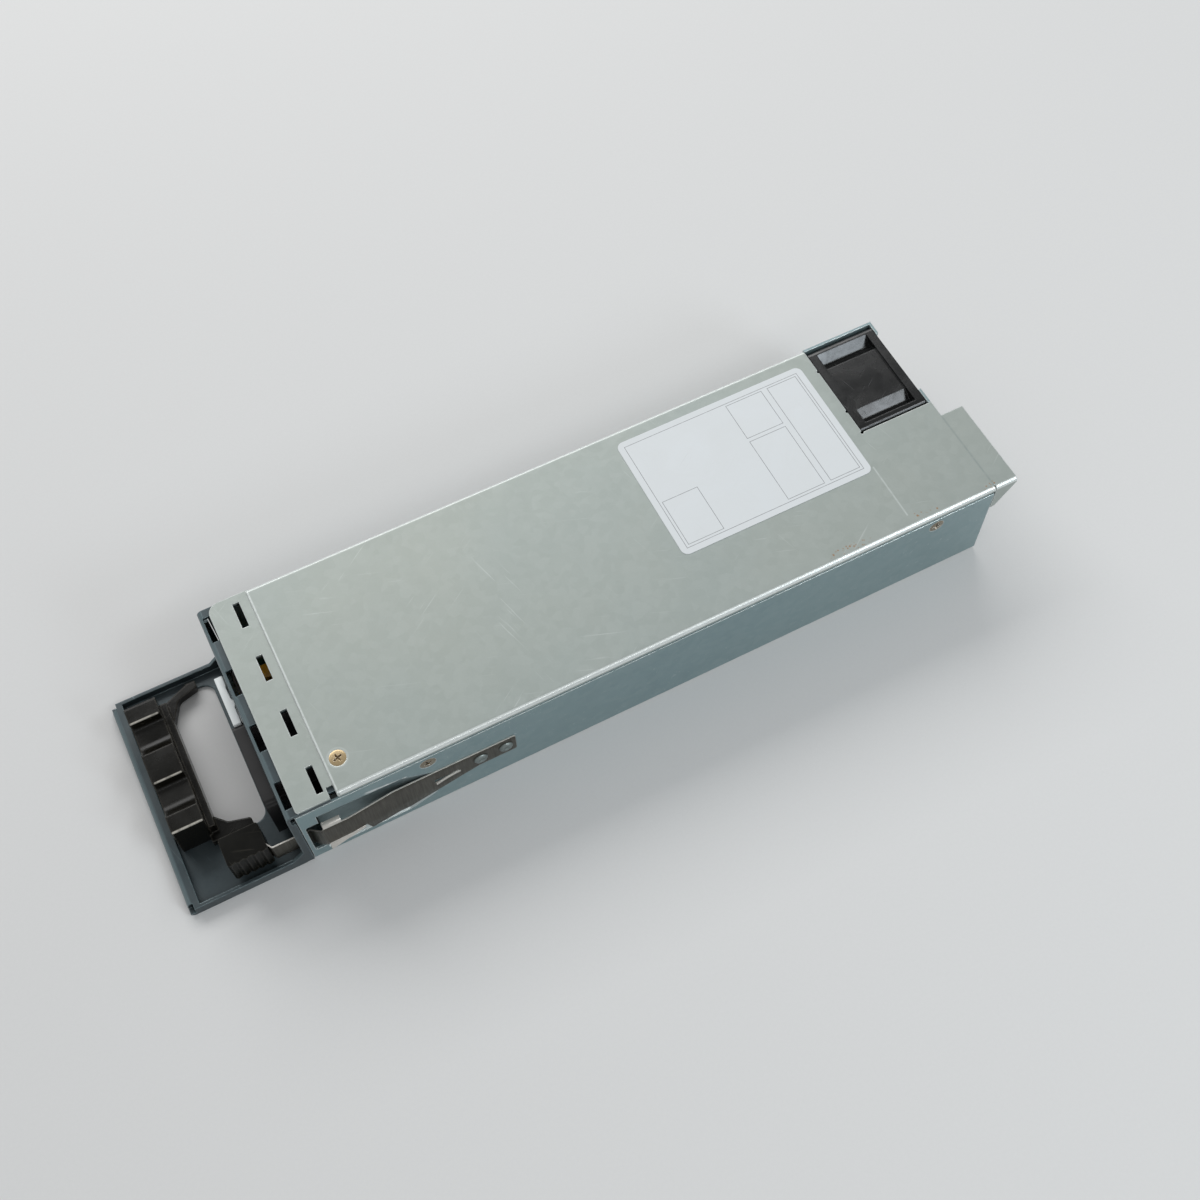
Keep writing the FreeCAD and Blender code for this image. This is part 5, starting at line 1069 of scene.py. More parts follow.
@dataclass(frozen=True)
class GlossyHighlightFinish(MouldedFinish):
    """Glossy black moulding with painted highlight lines along the lower edges of the grip's pads."""

    # Painted highlights: light lines along the lower edges of the grip's three pads.
    pad_highlights: tuple[Line, ...] = (
        ((-0.0350, 0.0249, 0.0160), (-0.0256, 0.0249, 0.0160)),
        ((-0.0345, 0.0008, 0.0160), (-0.0256, 0.0008, 0.0160)),
        ((-0.0350, -0.0184, 0.0159), (-0.0252, -0.0184, 0.0159)),
    )
    pad_highlight_width: float = 0.00055
    pad_highlight_tone: Colour = paint(206, 201, 190)
    pad_highlight_share: float = 0.8

    def marks(self, graph: Graph, tone: Socket) -> Socket:
        """Draw the painted highlight lines.

        Args:
            graph: The material's graph.
            tone: The colour so far.

        Returns:
            The colour.
        """
        for start, end in self.pad_highlights:
            line = graph.mask(SCRIBED, Start=start, End=end, Width=self.pad_highlight_width)
            tone = graph.lay(tone, line, self.pad_highlight_share, self.pad_highlight_tone)
        return tone


@dataclass(frozen=True)
class LabelFinish(Finish):
    """Blank white film with thin ruled cells and a slightly rubbed face.

    Each cell is given by its two ends along the case and its two ends across it.
    """

    base: Colour
    ink: Colour
    cells: tuple[tuple[float, float, float, float], ...]
    line: float = 0.00022
    line_edge: Span = (0.35, 0.6)
    press: Span = (0.6, 0.9)
    press_scale: float = 1400.0
    press_span: Span = (0.3, 0.5)
    aged: Colour = paint(196, 196, 188)
    aged_scale: float = 60.0
    aged_share: float = 0.10
    paper: Colour = paint(170, 172, 170)
    paper_scale: float = 2600.0
    paper_share: float = 0.05
    scuff: Colour = paint(180, 182, 180)
    scuff_scale: float = 1300.0
    scuff_limit: float = 0.67
    scuff_share: float = 0.2
    edge_radius: float = 0.0001
    rough_span: Span = (0.36, 0.5)
    aged_height: float = 0.7
    paper_height: float = 0.3
    relief_depth: float = 0.00004
    relief_share: float = 0.3

    def draw(self, graph: Graph, shader: Node) -> None:
        """Draw the film, the ruled cells on it and a few scuffs.

        Args:
            graph: The material's graph.
            shader: The Principled shader.
        """
        cloud = graph.mask(SMUDGE, Scale=self.aged_scale)
        paper = graph.mask(GRAIN, Scale=self.paper_scale)
        scuffs = graph.mask(SCRATCHES, Scale=self.scuff_scale, Threshold=self.scuff_limit)
        normal = graph.effect(SOFT_EDGE, Radius=self.edge_radius)[0]
        tone = graph.lay(self.base, cloud, self.aged_share, self.aged)
        tone = graph.lay(tone, paper, self.paper_share, self.paper)
        press = graph.patches(self.press_scale, 3.0, self.press_span, self.press)
        tone = graph.blend(graph.times(self.ruling(graph), press), tone, self.ink)
        tone = graph.lay(tone, scuffs, self.scuff_share, self.scuff)
        graph.feed(shader.inputs["Base Color"], tone)
        graph.feed(shader.inputs["Roughness"], graph.remap(cloud, WHOLE, self.rough_span))
        ripple = graph.plus(graph.times(cloud, self.aged_height),
                            graph.times(paper, self.paper_height))
        self.bump(graph, shader, ripple, self.relief_depth, self.relief_share, normal)

    def ruling(self, graph: Graph) -> Socket:
        """Draw the outline of every cell.

        Args:
            graph: The material's graph.

        Returns:
            The mask of the lines.
        """
        along = graph.split(graph.place())
        outlines = []
        for left, right, low, high in self.cells:
            gaps = []
            for place, start, end in ((along[0], left, right), (along[1], low, high)):
                away = graph.maths("ABSOLUTE", graph.minus(place, (start + end) / 2))
                gaps.append(graph.minus(away, (end - start) / 2))
            off = graph.maths("ABSOLUTE", graph.largest(*gaps))
            edge = (self.line * self.line_edge[0], self.line * self.line_edge[1])
            outlines.append(graph.remap(off, edge, FADE))
        return graph.largest(*outlines)


@dataclass(frozen=True)
class BoardFinish(Finish):
    """Circuit board: lacquer over copper tracks, with fibre at the edges."""

    lacquer: Colour
    track: Colour
    fibre: Colour
    shade: Colour = (0.01, 0.02, 0.015, 1.0)
    thin_scale: float = 170.0
    thin_lines: float = 7.0
    thin_span: Span = (0.55, 0.62)
    wide_scale: float = 95.0
    wide_span: Span = (0.42, 0.46)
    track_share: float = 0.75
    shade_share: float = 0.25
    shade_scale: float = 80.0
    face_span: Span = (0.4, 0.6)
    weave_scale: float = 3000.0
    weave_stretch: Point = (0.3, 0.3, 3.0)
    rough_span: Span = (0.26, 0.42)
    relief_depth: float = 0.00004
    relief_share: float = 0.5

    def draw(self, graph: Graph, shader: Node) -> None:
        """Draw blocky tracks under lacquer on the faces, and woven fibre on the edges.

        Args:
            graph: The material's graph.
            shader: The Principled shader.
        """
        tracks = self.tracks(graph)
        cloud = graph.mask(SMUDGE, Scale=self.shade_scale)
        weave = graph.mask(GRAIN, Scale=self.weave_scale, Stretch=self.weave_stretch)
        _, across, upward = graph.split(graph.normal())
        up = graph.remap(graph.maths("ABSOLUTE", upward), self.face_span)
        side = graph.remap(graph.maths("ABSOLUTE", across), self.face_span)
        tone = graph.lay(self.lacquer, tracks, self.track_share, self.track)
        tone = graph.lay(tone, cloud, self.shade_share, self.shade)
        cut = graph.blend(weave, self.fibre, self.lacquer)
        tone = graph.blend(graph.largest(up, side), cut, tone)
        graph.feed(shader.inputs["Base Color"], tone)
        graph.feed(shader.inputs["Roughness"], graph.remap(cloud, WHOLE, self.rough_span))
        self.bump(graph, shader, tracks, self.relief_depth, self.relief_share)

    def tracks(self, graph: Graph) -> Socket:
        """Mask the copper: thin parallel tracks and wide areas.

        Args:
            graph: The material's graph.

        Returns:
            The mask.
        """
        where = graph.place()
        small = graph.node("TexVoronoi", {"distance": "MANHATTAN", "feature": "F1"},
                           Vector=where, Scale=self.thin_scale).outputs[0]
        large = graph.node("TexVoronoi", {"distance": "CHEBYCHEV", "feature": "F2"},
                           Vector=where, Scale=self.wide_scale).outputs[0]
        lines = graph.maths("FRACT", graph.times(small, self.thin_lines))
        return graph.largest(graph.remap(lines, self.thin_span), graph.remap(large, self.wide_span))


@dataclass(frozen=True)
class WoundFinish(Finish):
    """Enamelled wire: close turns that shine along their length."""

    base: Colour
    gap: Colour
    turns: Point
    scale: float
    waver: float = 0.4
    cloud_scale: float = 140.0
    cloud_share: float = 0.35
    metallic_span: Span = (0.3, 0.8)
    rough_span: Span = (0.2, 0.36)
    relief_depth: float = 0.0002
    relief_share: float = 0.7

    def draw(self, graph: Graph, shader: Node) -> None:
        """Draw stripes of single turns, with a little change of tone from place to place.

        Args:
            graph: The material's graph.
            shader: The Principled shader.
        """
        where = graph.vector("MULTIPLY", graph.place(), self.turns)
        wave = graph.node("TexWave", {"wave_type": "BANDS", "bands_direction": "DIAGONAL"},
                          Vector=where, Scale=self.scale, Distortion=self.waver,
                          Detail=1.0).outputs[1]
        cloud = graph.mask(SMUDGE, Scale=self.cloud_scale)
        tone = graph.lay(graph.blend(wave, self.gap, self.base), cloud, self.cloud_share, self.gap)
        graph.feed(shader.inputs["Base Color"], tone)
        graph.feed(shader.inputs["Metallic"], graph.remap(wave, WHOLE, self.metallic_span))
        graph.feed(shader.inputs["Roughness"], graph.remap(cloud, WHOLE, self.rough_span))
        self.bump(graph, shader, wave, self.relief_depth, self.relief_share)


# The chassis is the cover's galvanised steel painted darker and bluer: painted shade.
SHADED_WALL_SHEET = WallFinish("galvanised_sheet", base=paint(138, 159, 161), cool=paint(129, 152, 156),
                   edge=paint(226, 232, 230), metallic=0.5, roughness=0.4)
COVER = CoverFinish("galvanised_cover", base=paint(162, 168, 161), cool=paint(156, 165, 161),
                    edge=paint(234, 239, 237), metallic=0.32, roughness=0.42, fold_highlight_share=0.75)
SLATE = SheetFinish("slate_paint", base=paint(60, 71, 75), cool=paint(52, 63, 67),
                    edge=paint(128, 146, 150), metallic=0.35, roughness=0.36, spangle_share=0.06,
                    dirt=(0.02, 0.022, 0.022, 1.0), scratch_share=0.3, edge_share=0.7)
SPRING = MetalFinish("spring_steel", base=paint(104, 101, 93), edge=paint(226, 223, 216),
                     roughness=0.34, stretch=(1.0, 1.0, 0.05), grain_scale=2600.0, contrast=0.5,
                     edge_radius=0.00022)
ZINC = MetalFinish("zinc_screw", base=paint(204, 180, 138), edge=paint(244, 238, 224),
                   roughness=0.24, metallic=0.75, contrast=0.35, edge_radius=0.00014)
SIDE_SCREW = MetalFinish("side_screw", base=paint(172, 160, 140), edge=paint(246, 243, 236),
                         roughness=0.2, contrast=0.35, stain_share=0.3, edge_radius=0.00016)
# Lighter copy of the spring steel: bare steel on the leaf's cut edges, painted highlight on its bent
# barb, stop and tongue.
SPRING_EDGE_AND_HIGHLIGHT = MetalFinish("spring_cut_edge_and_highlight", base=paint(218, 214, 206), edge=paint(244, 242, 237),
                     roughness=0.28, metallic=0.5, stretch=(1.0, 1.0, 0.1), contrast=0.18,
                     stain_share=0.15, edge_radius=0.00018)
RIVET = MetalFinish("rivet_steel", base=paint(150, 160, 158), edge=paint(216, 222, 220),
                    roughness=0.34, contrast=0.25, edge_radius=0.0002)
BLACK = GlossyHighlightFinish("black_moulding", base=paint(11, 10, 6), rubbed=paint(92, 88, 80),
                       roughness=0.18, shine=0.24, skin_share=0.012, edge_radius=0.0008,
                       edge_share=0.45, dust_share=0.01)
# A lighter, shinier copy of the black moulding for the rounded edges of the grip and the tab: partly
# rubbed wear, partly painted highlight.
BLACK_EDGE = GlossyHighlightFinish("black_moulding_edge", base=paint(46, 45, 41),
                            rubbed=paint(120, 117, 108), roughness=0.2, shine=1.0,
                            skin_share=0.35, edge_radius=0.0003, edge_share=0.2, dust_share=0.01)
TAB = MouldedFinish("tab_moulding", base=paint(9, 9, 6), rubbed=paint(84, 80, 72),
                    roughness=0.28, shine=0.12, skin_share=0.015, edge_radius=0.0005,
                    edge_share=0.3, dust_share=0.01)
INLET = MouldedFinish("inlet_moulding", base=paint(20, 19, 20), rubbed=paint(52, 50, 52),
                      roughness=0.36, shine=0.4, skin_share=0.08, edge_radius=0.0005,
                      dust_share=0.03)
FAN = MouldedFinish("fan_moulding", base=paint(13, 14, 14), rubbed=paint(66, 70, 72),
                    roughness=0.18, shine=0.52, skin_share=0.012, skin_depth=0.000003,
                    edge_radius=0.0005, edge_share=0.2, dust_share=0.01)
GUIDE = MouldedFinish("light_guide", base=paint(236, 242, 242), rubbed=paint(246, 248, 247),
                      roughness=0.3, coat=0.3, edge_radius=0.0003, dust_share=0.05)
CONNECTOR = MouldedFinish("white_moulding", base=paint(214, 208, 190), rubbed=paint(236, 232, 220),
                          roughness=0.4)
EPOXY = MouldedFinish("black_epoxy", base=paint(24, 24, 26), rubbed=paint(60, 60, 62),
                      roughness=0.5, edge_radius=0.0002)
SLEEVE = MouldedFinish("capacitor_sleeve", base=paint(28, 38, 66), rubbed=paint(66, 82, 120),
                       roughness=0.28, coat=0.3, skin_scale=900.0)
AMBER = MouldedFinish("amber_film", base=paint(246, 176, 40), rubbed=paint(250, 206, 110),
                      roughness=0.25, coat=0.4, dust_share=0.05)
CORE = MouldedFinish("ferrite", base=paint(42, 43, 46), rubbed=paint(92, 94, 98),
                     roughness=0.55, skin_depth=0.00005, edge_radius=0.0003)
MAGNET = MouldedFinish("magnet_rubber", base=paint(38, 36, 35), rubbed=paint(70, 68, 66),
                       roughness=0.7, edge_radius=0.0002)
INSULATOR = MouldedFinish("insulator_film", base=paint(196, 190, 168), rubbed=paint(222, 218, 204),
                          roughness=0.36, coat=0.2, edge_radius=0.0001)
STATOR = MetalFinish("stator_steel", base=paint(120, 122, 124), edge=paint(190, 192, 192),
                     roughness=0.45, stretch=(4.0, 0.4, 0.4))
SHAFT = MetalFinish("shaft_steel", base=paint(196, 198, 198), edge=paint(232, 232, 232),
                    roughness=0.2, stretch=(0.2, 2.0, 2.0))
GOLD = MetalFinish("gold_contact", base=paint(222, 178, 92), edge=paint(244, 214, 140),
                   roughness=0.22, contrast=0.12, stretch=(0.3, 2.0, 1.0))
NICKEL = MetalFinish("nickel_contact", base=paint(198, 194, 184), edge=paint(236, 234, 228),
                     roughness=0.26, stretch=(0.2, 1.0, 1.0))
BRASS = MetalFinish("brass_standoff", base=paint(200, 164, 92), edge=paint(232, 206, 140),
                    roughness=0.3)
ALUMINIUM = MetalFinish("heatsink_aluminium", base=paint(188, 190, 190), edge=paint(226, 228, 228),
                        roughness=0.36, stretch=(0.08, 1.0, 1.0), edge_radius=0.0003)
BOARD = BoardFinish("circuit_board", lacquer=paint(14, 48, 34), track=paint(32, 80, 52),
                    fibre=paint(150, 144, 100))
COPPER = WoundFinish("copper_winding", base=paint(196, 112, 58), gap=paint(70, 34, 18),
                     turns=(1.0, 1.0, 0.15), scale=900.0)
LABEL_CELLS = (
    (0.1572, 0.2272, -0.0131, 0.0333),
    (0.2145, 0.2262, -0.0120, 0.0323),
    (0.1975, 0.2120, -0.0120, 0.0150),
    (0.1975, 0.2120, 0.0166, 0.0323),
    (0.1583, 0.1720, -0.0120, 0.0070),
)
LABEL = LabelFinish("label_film", base=paint(214, 218, 220), ink=paint(120, 122, 124),
                    cells=LABEL_CELLS)


# ---------------------------------------------------------------------------
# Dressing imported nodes
# ---------------------------------------------------------------------------


def dress(node: str, finish: Finish) -> None:
    """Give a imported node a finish.

    Args:
        node: The node's name.
        finish: Its finish.
    """
    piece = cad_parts[node]
    material = finish.material()
    if not piece.material_slots:
        piece.data.materials.append(material)
    for place in piece.material_slots:
        place.material = material


def soften(node: str, width: float, worn: Finish | None = None) -> None:
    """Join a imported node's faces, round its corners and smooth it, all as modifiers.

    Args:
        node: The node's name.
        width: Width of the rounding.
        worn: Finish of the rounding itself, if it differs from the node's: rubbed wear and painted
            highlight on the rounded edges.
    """
    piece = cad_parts[node]
    weld = piece.modifiers.new("joined", "WELD")
    weld.merge_threshold = WELD_REACH
    edge = piece.modifiers.new("rounding", "BEVEL")
    edge.width = width
    edge.segments = 3
    edge.limit_method = "ANGLE"
    edge.angle_limit = SOFT_CORNER
    edge.use_clamp_overlap = True
    edge.harden_normals = False
    if worn is not None:
        piece.data.materials.append(worn.material())
        edge.material = len(piece.data.materials) - 1
    normals = piece.modifiers.new("even_normals", "WEIGHTED_NORMAL")
    normals.keep_sharp = False
    for face in piece.data.polygons:
        face.use_smooth = True


# ---------------------------------------------------------------------------
# Mesh helpers
# ---------------------------------------------------------------------------


def new_piece(name: str, mesh: Mesh, finish: Finish) -> Piece:
    """Turn a finished mesh into a scene object with its material.

    Args:
        name: The piece's name.
        mesh: The geometry; it is freed.
        finish: The piece's finish.

    Returns:
        The object, linked to the scene.
    """
    bmesh.ops.recalc_face_normals(mesh, faces=mesh.faces)
    data = bpy.data.meshes.new(name)
    mesh.to_mesh(data)
    mesh.free()
    data.materials.append(finish.material())
    piece = bpy.data.objects.new(name, data)
    bpy.context.scene.collection.objects.link(piece)
    return piece


def shade_smooth(piece: Piece, angle: float) -> None:
    """Smooth the faces, and keep the sharper edges crisp.

    Args:
        piece: The piece.
        angle: Turn between two faces, in degrees, from which their edge stays crisp.
    """
    mesh = bmesh.new()
    mesh.from_mesh(piece.data)
    limit = math.radians(angle)
    for face in mesh.faces:
        face.smooth = True
    for edge in mesh.edges:
        edge.smooth = len(edge.link_faces) == 2 and edge.calc_face_angle(0.0) < limit
    mesh.to_mesh(piece.data)
    mesh.free()


def settle(piece: Piece) -> None:
    """Turn the piece's modifiers into plain geometry.

    Args:
        piece: The piece.
    """
    bpy.context.view_layer.update()
    graph = bpy.context.evaluated_depsgraph_get()
    made = bpy.data.meshes.new_from_object(piece.evaluated_get(graph))
    piece.modifiers.clear()
    old = piece.data
    piece.data = made
    made.name = piece.name
    bpy.data.meshes.remove(old)


def thicken(piece: Piece, thickness: float, round_edge: float) -> None:
    """Give a sheet its thickness, half to each side, and round its edges.

    The faces of the cut edges take the next material after the sheet's own.

    Args:
        piece: An open sheet.
        thickness: The sheet's thickness.
        round_edge: Width of the rounding along its cut edges.
    """
    solid = piece.modifiers.new("thickness", "SOLIDIFY")
    solid.thickness = thickness
    solid.offset = 0.0
    solid.use_even_offset = True
    solid.material_offset_rim = 1
    edge = piece.modifiers.new("edges", "BEVEL")
    edge.width = round_edge
    edge.segments = 2
    edge.limit_method = "ANGLE"
    edge.angle_limit = CUT_CORNER
    settle(piece)


def bridge(mesh: Mesh, first: Sequence[Corner], second: Sequence[Corner]) -> None:
    """Join two closed rings of corners, either of which may be a single point.

    Args:
        mesh: The mesh to add to.
        first: Corners of the first ring.
        second: Corners of the second ring.
    """
    count = max(len(first), len(second))
    if count == 1:
        return
    for i in range(count):
        j = (i + 1) % count
        if len(first) == 1:
            mesh.faces.new((first[0], second[j], second[i]))
        elif len(second) == 1:
            mesh.faces.new((first[i], first[j], second[0]))
        else:
            mesh.faces.new((first[i], first[j], second[j], second[i]))


def ring(mesh: Mesh, placing: Matrix, radii: Sequence[float], height: float) -> list[Corner]:
    """Add a ring of corners round an axis, or one point if the ring has no width.

    Args:
        mesh: The mesh to add to.
        placing: Where the axis's +Z goes.
        radii: The radius at each step round the axis.
        height: The ring's place along the axis.

    Returns:
        The corners.
    """
    if max(radii) < NO_WIDTH:
        return [mesh.verts.new(placing @ Vector((0.0, 0.0, height)))]
    corners = []
    for i, radius in enumerate(radii):
        angle = math.tau * i / len(radii)
        point = Vector((radius * math.cos(angle), radius * math.sin(angle), height))
        corners.append(mesh.verts.new(placing @ point))
    return corners


def lathe(mesh: Mesh, outline: Sequence[tuple[float, float]], steps: int, placing: Matrix) -> None:
    """Turn an outline round an axis.

    Args:
        mesh: The mesh to add to.
        outline: Radius and height of each point, from one end to the other.
        steps: Steps round the axis.
        placing: Where the axis's +Z goes.
    """
    rings = [ring(mesh, placing, [radius] * steps, height) for radius, height in outline]
    for first, second in zip(rings, rings[1:]):
        bridge(mesh, first, second)


def slab(mesh: Mesh, outline: Sequence[tuple[float, float]], low: float, high: float) -> None:
    """Stand a flat outline up as a slab, all in millimetres.

    Args:
        mesh: The mesh to add to.
        outline: X and Y of each corner.
        low: Height of its lower face.
        high: Height of its upper face.
    """
    rings = [[mesh.verts.new((x * MM, y * MM, z * MM)) for x, y in outline] for z in (low, high)]
    mesh.faces.new(rings[0])
    mesh.faces.new(rings[1])
    bridge(mesh, rings[0], rings[1])


def strip(mesh: Mesh, columns: Sequence[Sequence[Corner]], finish: int = 0) -> None:
    """Join columns of corners, each to the next, by faces.

    Args:
        mesh: The mesh to add to.
        columns: The corners, from one end of the strip to the other.
        finish: Place of the strip's finish among the piece's materials.
    """
    for first, second in zip(columns, columns[1:]):
        for row in range(len(first) - 1):
            face = mesh.faces.new((first[row], first[row + 1], second[row + 1], second[row]))
            face.material_index = finish


def rounded_path(corners: Sequence[tuple[float, ...]], step: float = 0.14) -> list[Vector]:
    """Follow a bent sheet's line, with each bend as an arc.

    Args:
        corners: X, Y and optionally the bend radius of each corner.
        step: Largest turn between two points of an arc, in radians.

    Returns:
        The points along the line.
    """
    points = [Vector(corners[0][:2])]
    for before, corner, after in zip(corners, corners[1:], corners[2:]):
        middle = Vector(corner[:2])
        radius = corner[2] if len(corner) > 2 else 0.0
        back = (Vector(before[:2]) - middle).normalized()
        on = (Vector(after[:2]) - middle).normalized()
        turn = math.pi - back.angle(on)
        if radius <= 0.0 or turn < 1e-4:
            points.append(middle)
            continue
        run = radius * math.tan(turn / 2)
        centre = middle + (back + on).normalized() * (radius / math.cos(turn / 2))
        start = middle + back * run - centre
        end = middle + on * run - centre
        pieces = max(2, math.ceil(turn / step))
        for i in range(pieces + 1):
            points.append(centre + start.slerp(end, i / pieces).normalized() * radius)
    points.append(Vector(corners[-1][:2]))
    return points


def at(place: Vector, facing: Facing) -> Matrix:
    """Stand an axis at a place, with its own +Z along the way something faces.

    Args:
        place: The place.
        facing: The way it faces.

    Returns:
        The placing.
    """
    turn = Vector(facing.value).to_track_quat("Z", "Y").to_matrix().to_4x4()
    return Matrix.Translation(place) @ turn


def head_places(node: str, radius: float, facing: Facing) -> list[Vector]:
    """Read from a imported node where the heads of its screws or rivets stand.

    Args:
        node: The node, with a head at each end of its box along the case, or one alone.
        radius: A head's radius.
        facing: The way the heads face.

    Returns:
        The middle of each head, on the node's outermost face.
    """
    low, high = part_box(node)
    face = (low + high) / 2 + Vector(facing.value) * (high - low) / 2
    first, last = low.x + radius, high.x - radius
    ends = (first,) if last - first < radius else (first, last)
    return [Vector((x, face.y, face.z)) for x in ends]


# ---------------------------------------------------------------------------
# Sub-assemblies
# ---------------------------------------------------------------------------


@dataclass
class SubAssembly:
    """Pieces that belong together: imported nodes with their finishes, and finer pieces."""

    finishes: dict[str, Finish] = field(default_factory=dict)

    def build(self) -> list[str]:
        """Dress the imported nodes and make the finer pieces.

        Returns:
            The names of all the pieces.
        """
        for node, finish in self.finishes.items():
            dress(node, finish)
        return [*self.finishes, *self.make()]

    def make(self) -> list[str]:
        """Make no finer piece; a sub-assembly that has some names them here."""
        return []


@dataclass
class SheetCase(SubAssembly):
    """The base chassis and the top cover, in galvanised sheet."""

    finishes: dict[str, Finish] = field(default_factory=lambda: {
        "base_chassis": SHADED_WALL_SHEET, "top_cover": COVER,
    })


@dataclass
class RearBezel(SubAssembly):
    """The painted rear bezel with its tray, and the pull handle on it."""

    finishes: dict[str, Finish] = field(default_factory=lambda: {
        "rear_bezel": SLATE, "handle_grip": BLACK,
    })
    grip_round: float = 0.0006

    def make(self) -> list[str]:
        """Round the handle's moulded corners, which changes a dressed node and adds none."""
        # The rounding takes the lighter black: partly rubbed wear, partly painted highlight.
        soften("handle_grip", self.grip_round, worn=BLACK_EDGE)
        return []


@dataclass
class SpringLatch(SubAssembly):
    """The one-piece leaf spring with its barb, stop and tongue, its rivets and the thumb tab.

    The leaf is drawn in millimetres. Its path is the middle of the sheet seen from above,
    with X, Y and a bend radius, and each row is a place along it followed by the heights
    of the sheet's corners there, from the lower edge to the upper one. The roundings, the
    thickness, the bend line, the riveted end and the rivets are in metres.
    """

    finishes: dict[str, Finish] = field(default_factory=lambda: {"latch_thumb_tab": TAB})
    tab_round: float = 0.0006
    thickness: float = 0.0005
    edge_round: float = 0.00009
    bend_x: float = 0.047
    riveted_end: Point = (0.0778, -0.04125, 0.0095)
    path: tuple[tuple[float, ...], ...] = (
        (77.8, -41.5), (47.0, -41.5), (34.0, -41.5, 12.0), (18.0, -43.1, 8.0), (8.8, -43.1, 1.3),
        (5.1, -38.85, 1.3), (1.0, -38.35, 1.3), (-8.0, -38.35, 0.65), (-10.6, -34.35, 0.65),
        (-19.8, -34.35),
    )
    rows: tuple[tuple[float, ...], ...] = (
        (77.8, 14.6, 15.4, 15.95, 18.15, 21.4, 23.3), (77.2, 14.0, 15.1, 15.95, 18.15, 21.4, 23.9),
        (64.0, 14.0, 15.1, 15.95, 18.15, 21.4, 24.0), (58.0, 12.5, 14.3, 15.95, 18.15, 21.4, 24.1),
        (47.0, 9.5, 13.2, 15.95, 18.15, 21.4, 24.2), (38.0, 7.0, 12.0, 15.95, 18.15, 21.4, 24.2),
        (24.0, 7.0, 12.0, 15.95, 18.15, 21.4, 24.2), (22.5, 12.0, 13.8, 15.95, 18.15, 21.4, 24.2),
        (9.2, 11.4, 13.4, 15.95, 18.15, 21.4, 24.2), (8.2, 10.2, 12.4, 14.6, 17.0, 19.6, 22.0),
        (6.6, 7.6, 9.8, 12.2, 14.8, 17.4, 20.3), (3.7, 7.6, 9.4, 11.4, 13.4, 15.4, 17.2),
        (-19.8, 7.6, 9.4, 11.4, 13.4, 15.4, 17.2),
    )
    longest_face: float = 2.2
    slot: Span = (48.05, 56.65)
    slot_row: int = 2
    bow_y: float = -43.1
    barb: Span = (9.2, 22.0)
    barb_steps: int = 7
    barb_reach: float = 1.7
    barb_least: float = 0.03
    barb_taper: float = 0.0625
    barb_root: float = 22.4
    barb_lap: float = 0.12
    barb_bend: tuple[Span, ...] = ((0.0, 0.0), (0.25, 0.08), (0.55, 0.42), (1.0, 1.0))
    stop: Span = (9.2, 15.5)
    stop_top: float = 25.35
    stop_bend: tuple[Span, ...] = (
        (0.0, -1.25), (0.0, -0.75), (0.12, -0.35), (0.4, -0.08), (0.75, 0.0), (1.75, 0.0),
    )
    tongue: Span = (57.25, 48.3)
    tongue_rows: tuple[float, ...] = (16.15, 16.75, 17.35)
    tongue_steps: int = 6
    tongue_reach: float = 0.95
    tongue_curve: float = 1.6
    tongue_y: float = -41.52
    rivet_radius: float = 0.0025
    rivet_steps: int = 40
    rivet: tuple[Span, ...] = (
        (0.0, 0.00062), (0.0007, 0.00066), (0.00095, 0.00086), (0.00115, 0.001),
        (0.00155, 0.00098), (0.00205, 0.00076), (0.0024, 0.00042), (0.0025, 0.00016),
        (0.00246, 0.0), (0.0014, 0.0), (0.0014, -0.0015), (0.0021, -0.0015),
        (0.00205, -0.00195), (0.0016, -0.0022), (0.0, -0.0022),
    )

    def make(self) -> list[str]:
        """Make the leaf and the rivets, and round the tab's corners.

        Returns:
            The names of the new pieces.
        """
        leaf = self.make_leaf()
        rivets = self.make_rivets()
        # The rounding takes the lighter black: partly rubbed wear, partly painted highlight.
        soften("latch_thumb_tab", self.tab_round, worn=BLACK_EDGE)
        return [leaf.name, rivets.name]

    def row_heights(self, x: float) -> list[float]:
        """Read the heights of the leaf's corners at a place along the case.

        Args:
            x: The place, in millimetres.

        Returns:
            The heights, in millimetres, from the lower edge to the upper one.
        """
        for first, second in zip(self.rows, self.rows[1:]):
            if second[0] <= x <= first[0]:
                share = (first[0] - x) / (first[0] - second[0])
                return [a + (b - a) * share for a, b in zip(first[1:], second[1:])]
        return list(self.rows[-1][1:] if x < self.rows[-1][0] else self.rows[0][1:])

    def stations(self) -> list[Vector]:
        """Pick points along the leaf's path, one of them at every place where its outline changes.

        Returns:
            X and Y of the points, in millimetres.
        """
        close = 0.02
        points = rounded_path(self.path)
        wanted = sorted({row[0] for row in self.rows} | set(self.slot), reverse=True)
        out = [points[0]]
        for first, second in zip(points, points[1:]):
            for place in (w for w in wanted if second.x + close < w < first.x - close):
                share = (first.x - place) / (first.x - second.x)
                out.append(first.lerp(second, share))
            last = out[-1]
            extra = int((second - last).length // self.longest_face)
            for i in range(extra):
                out.append(last.lerp(second, (i + 1) / (extra + 1)))
            out.append(second)
        return out

    def make_leaf(self) -> Piece:
        """Bend the sheet, add the barb, the stop and the tongue, and give it thickness.

        Returns:
            The leaf, from the riveted end to the tab.
        """
        mesh = bmesh.new()
        self.add_sheet(mesh)
        self.add_barb(mesh)
        self.add_stop(mesh)
        self.add_tongue(mesh)
        self.seat(mesh)
        piece = new_piece("spring_leaf", mesh, SPRING)
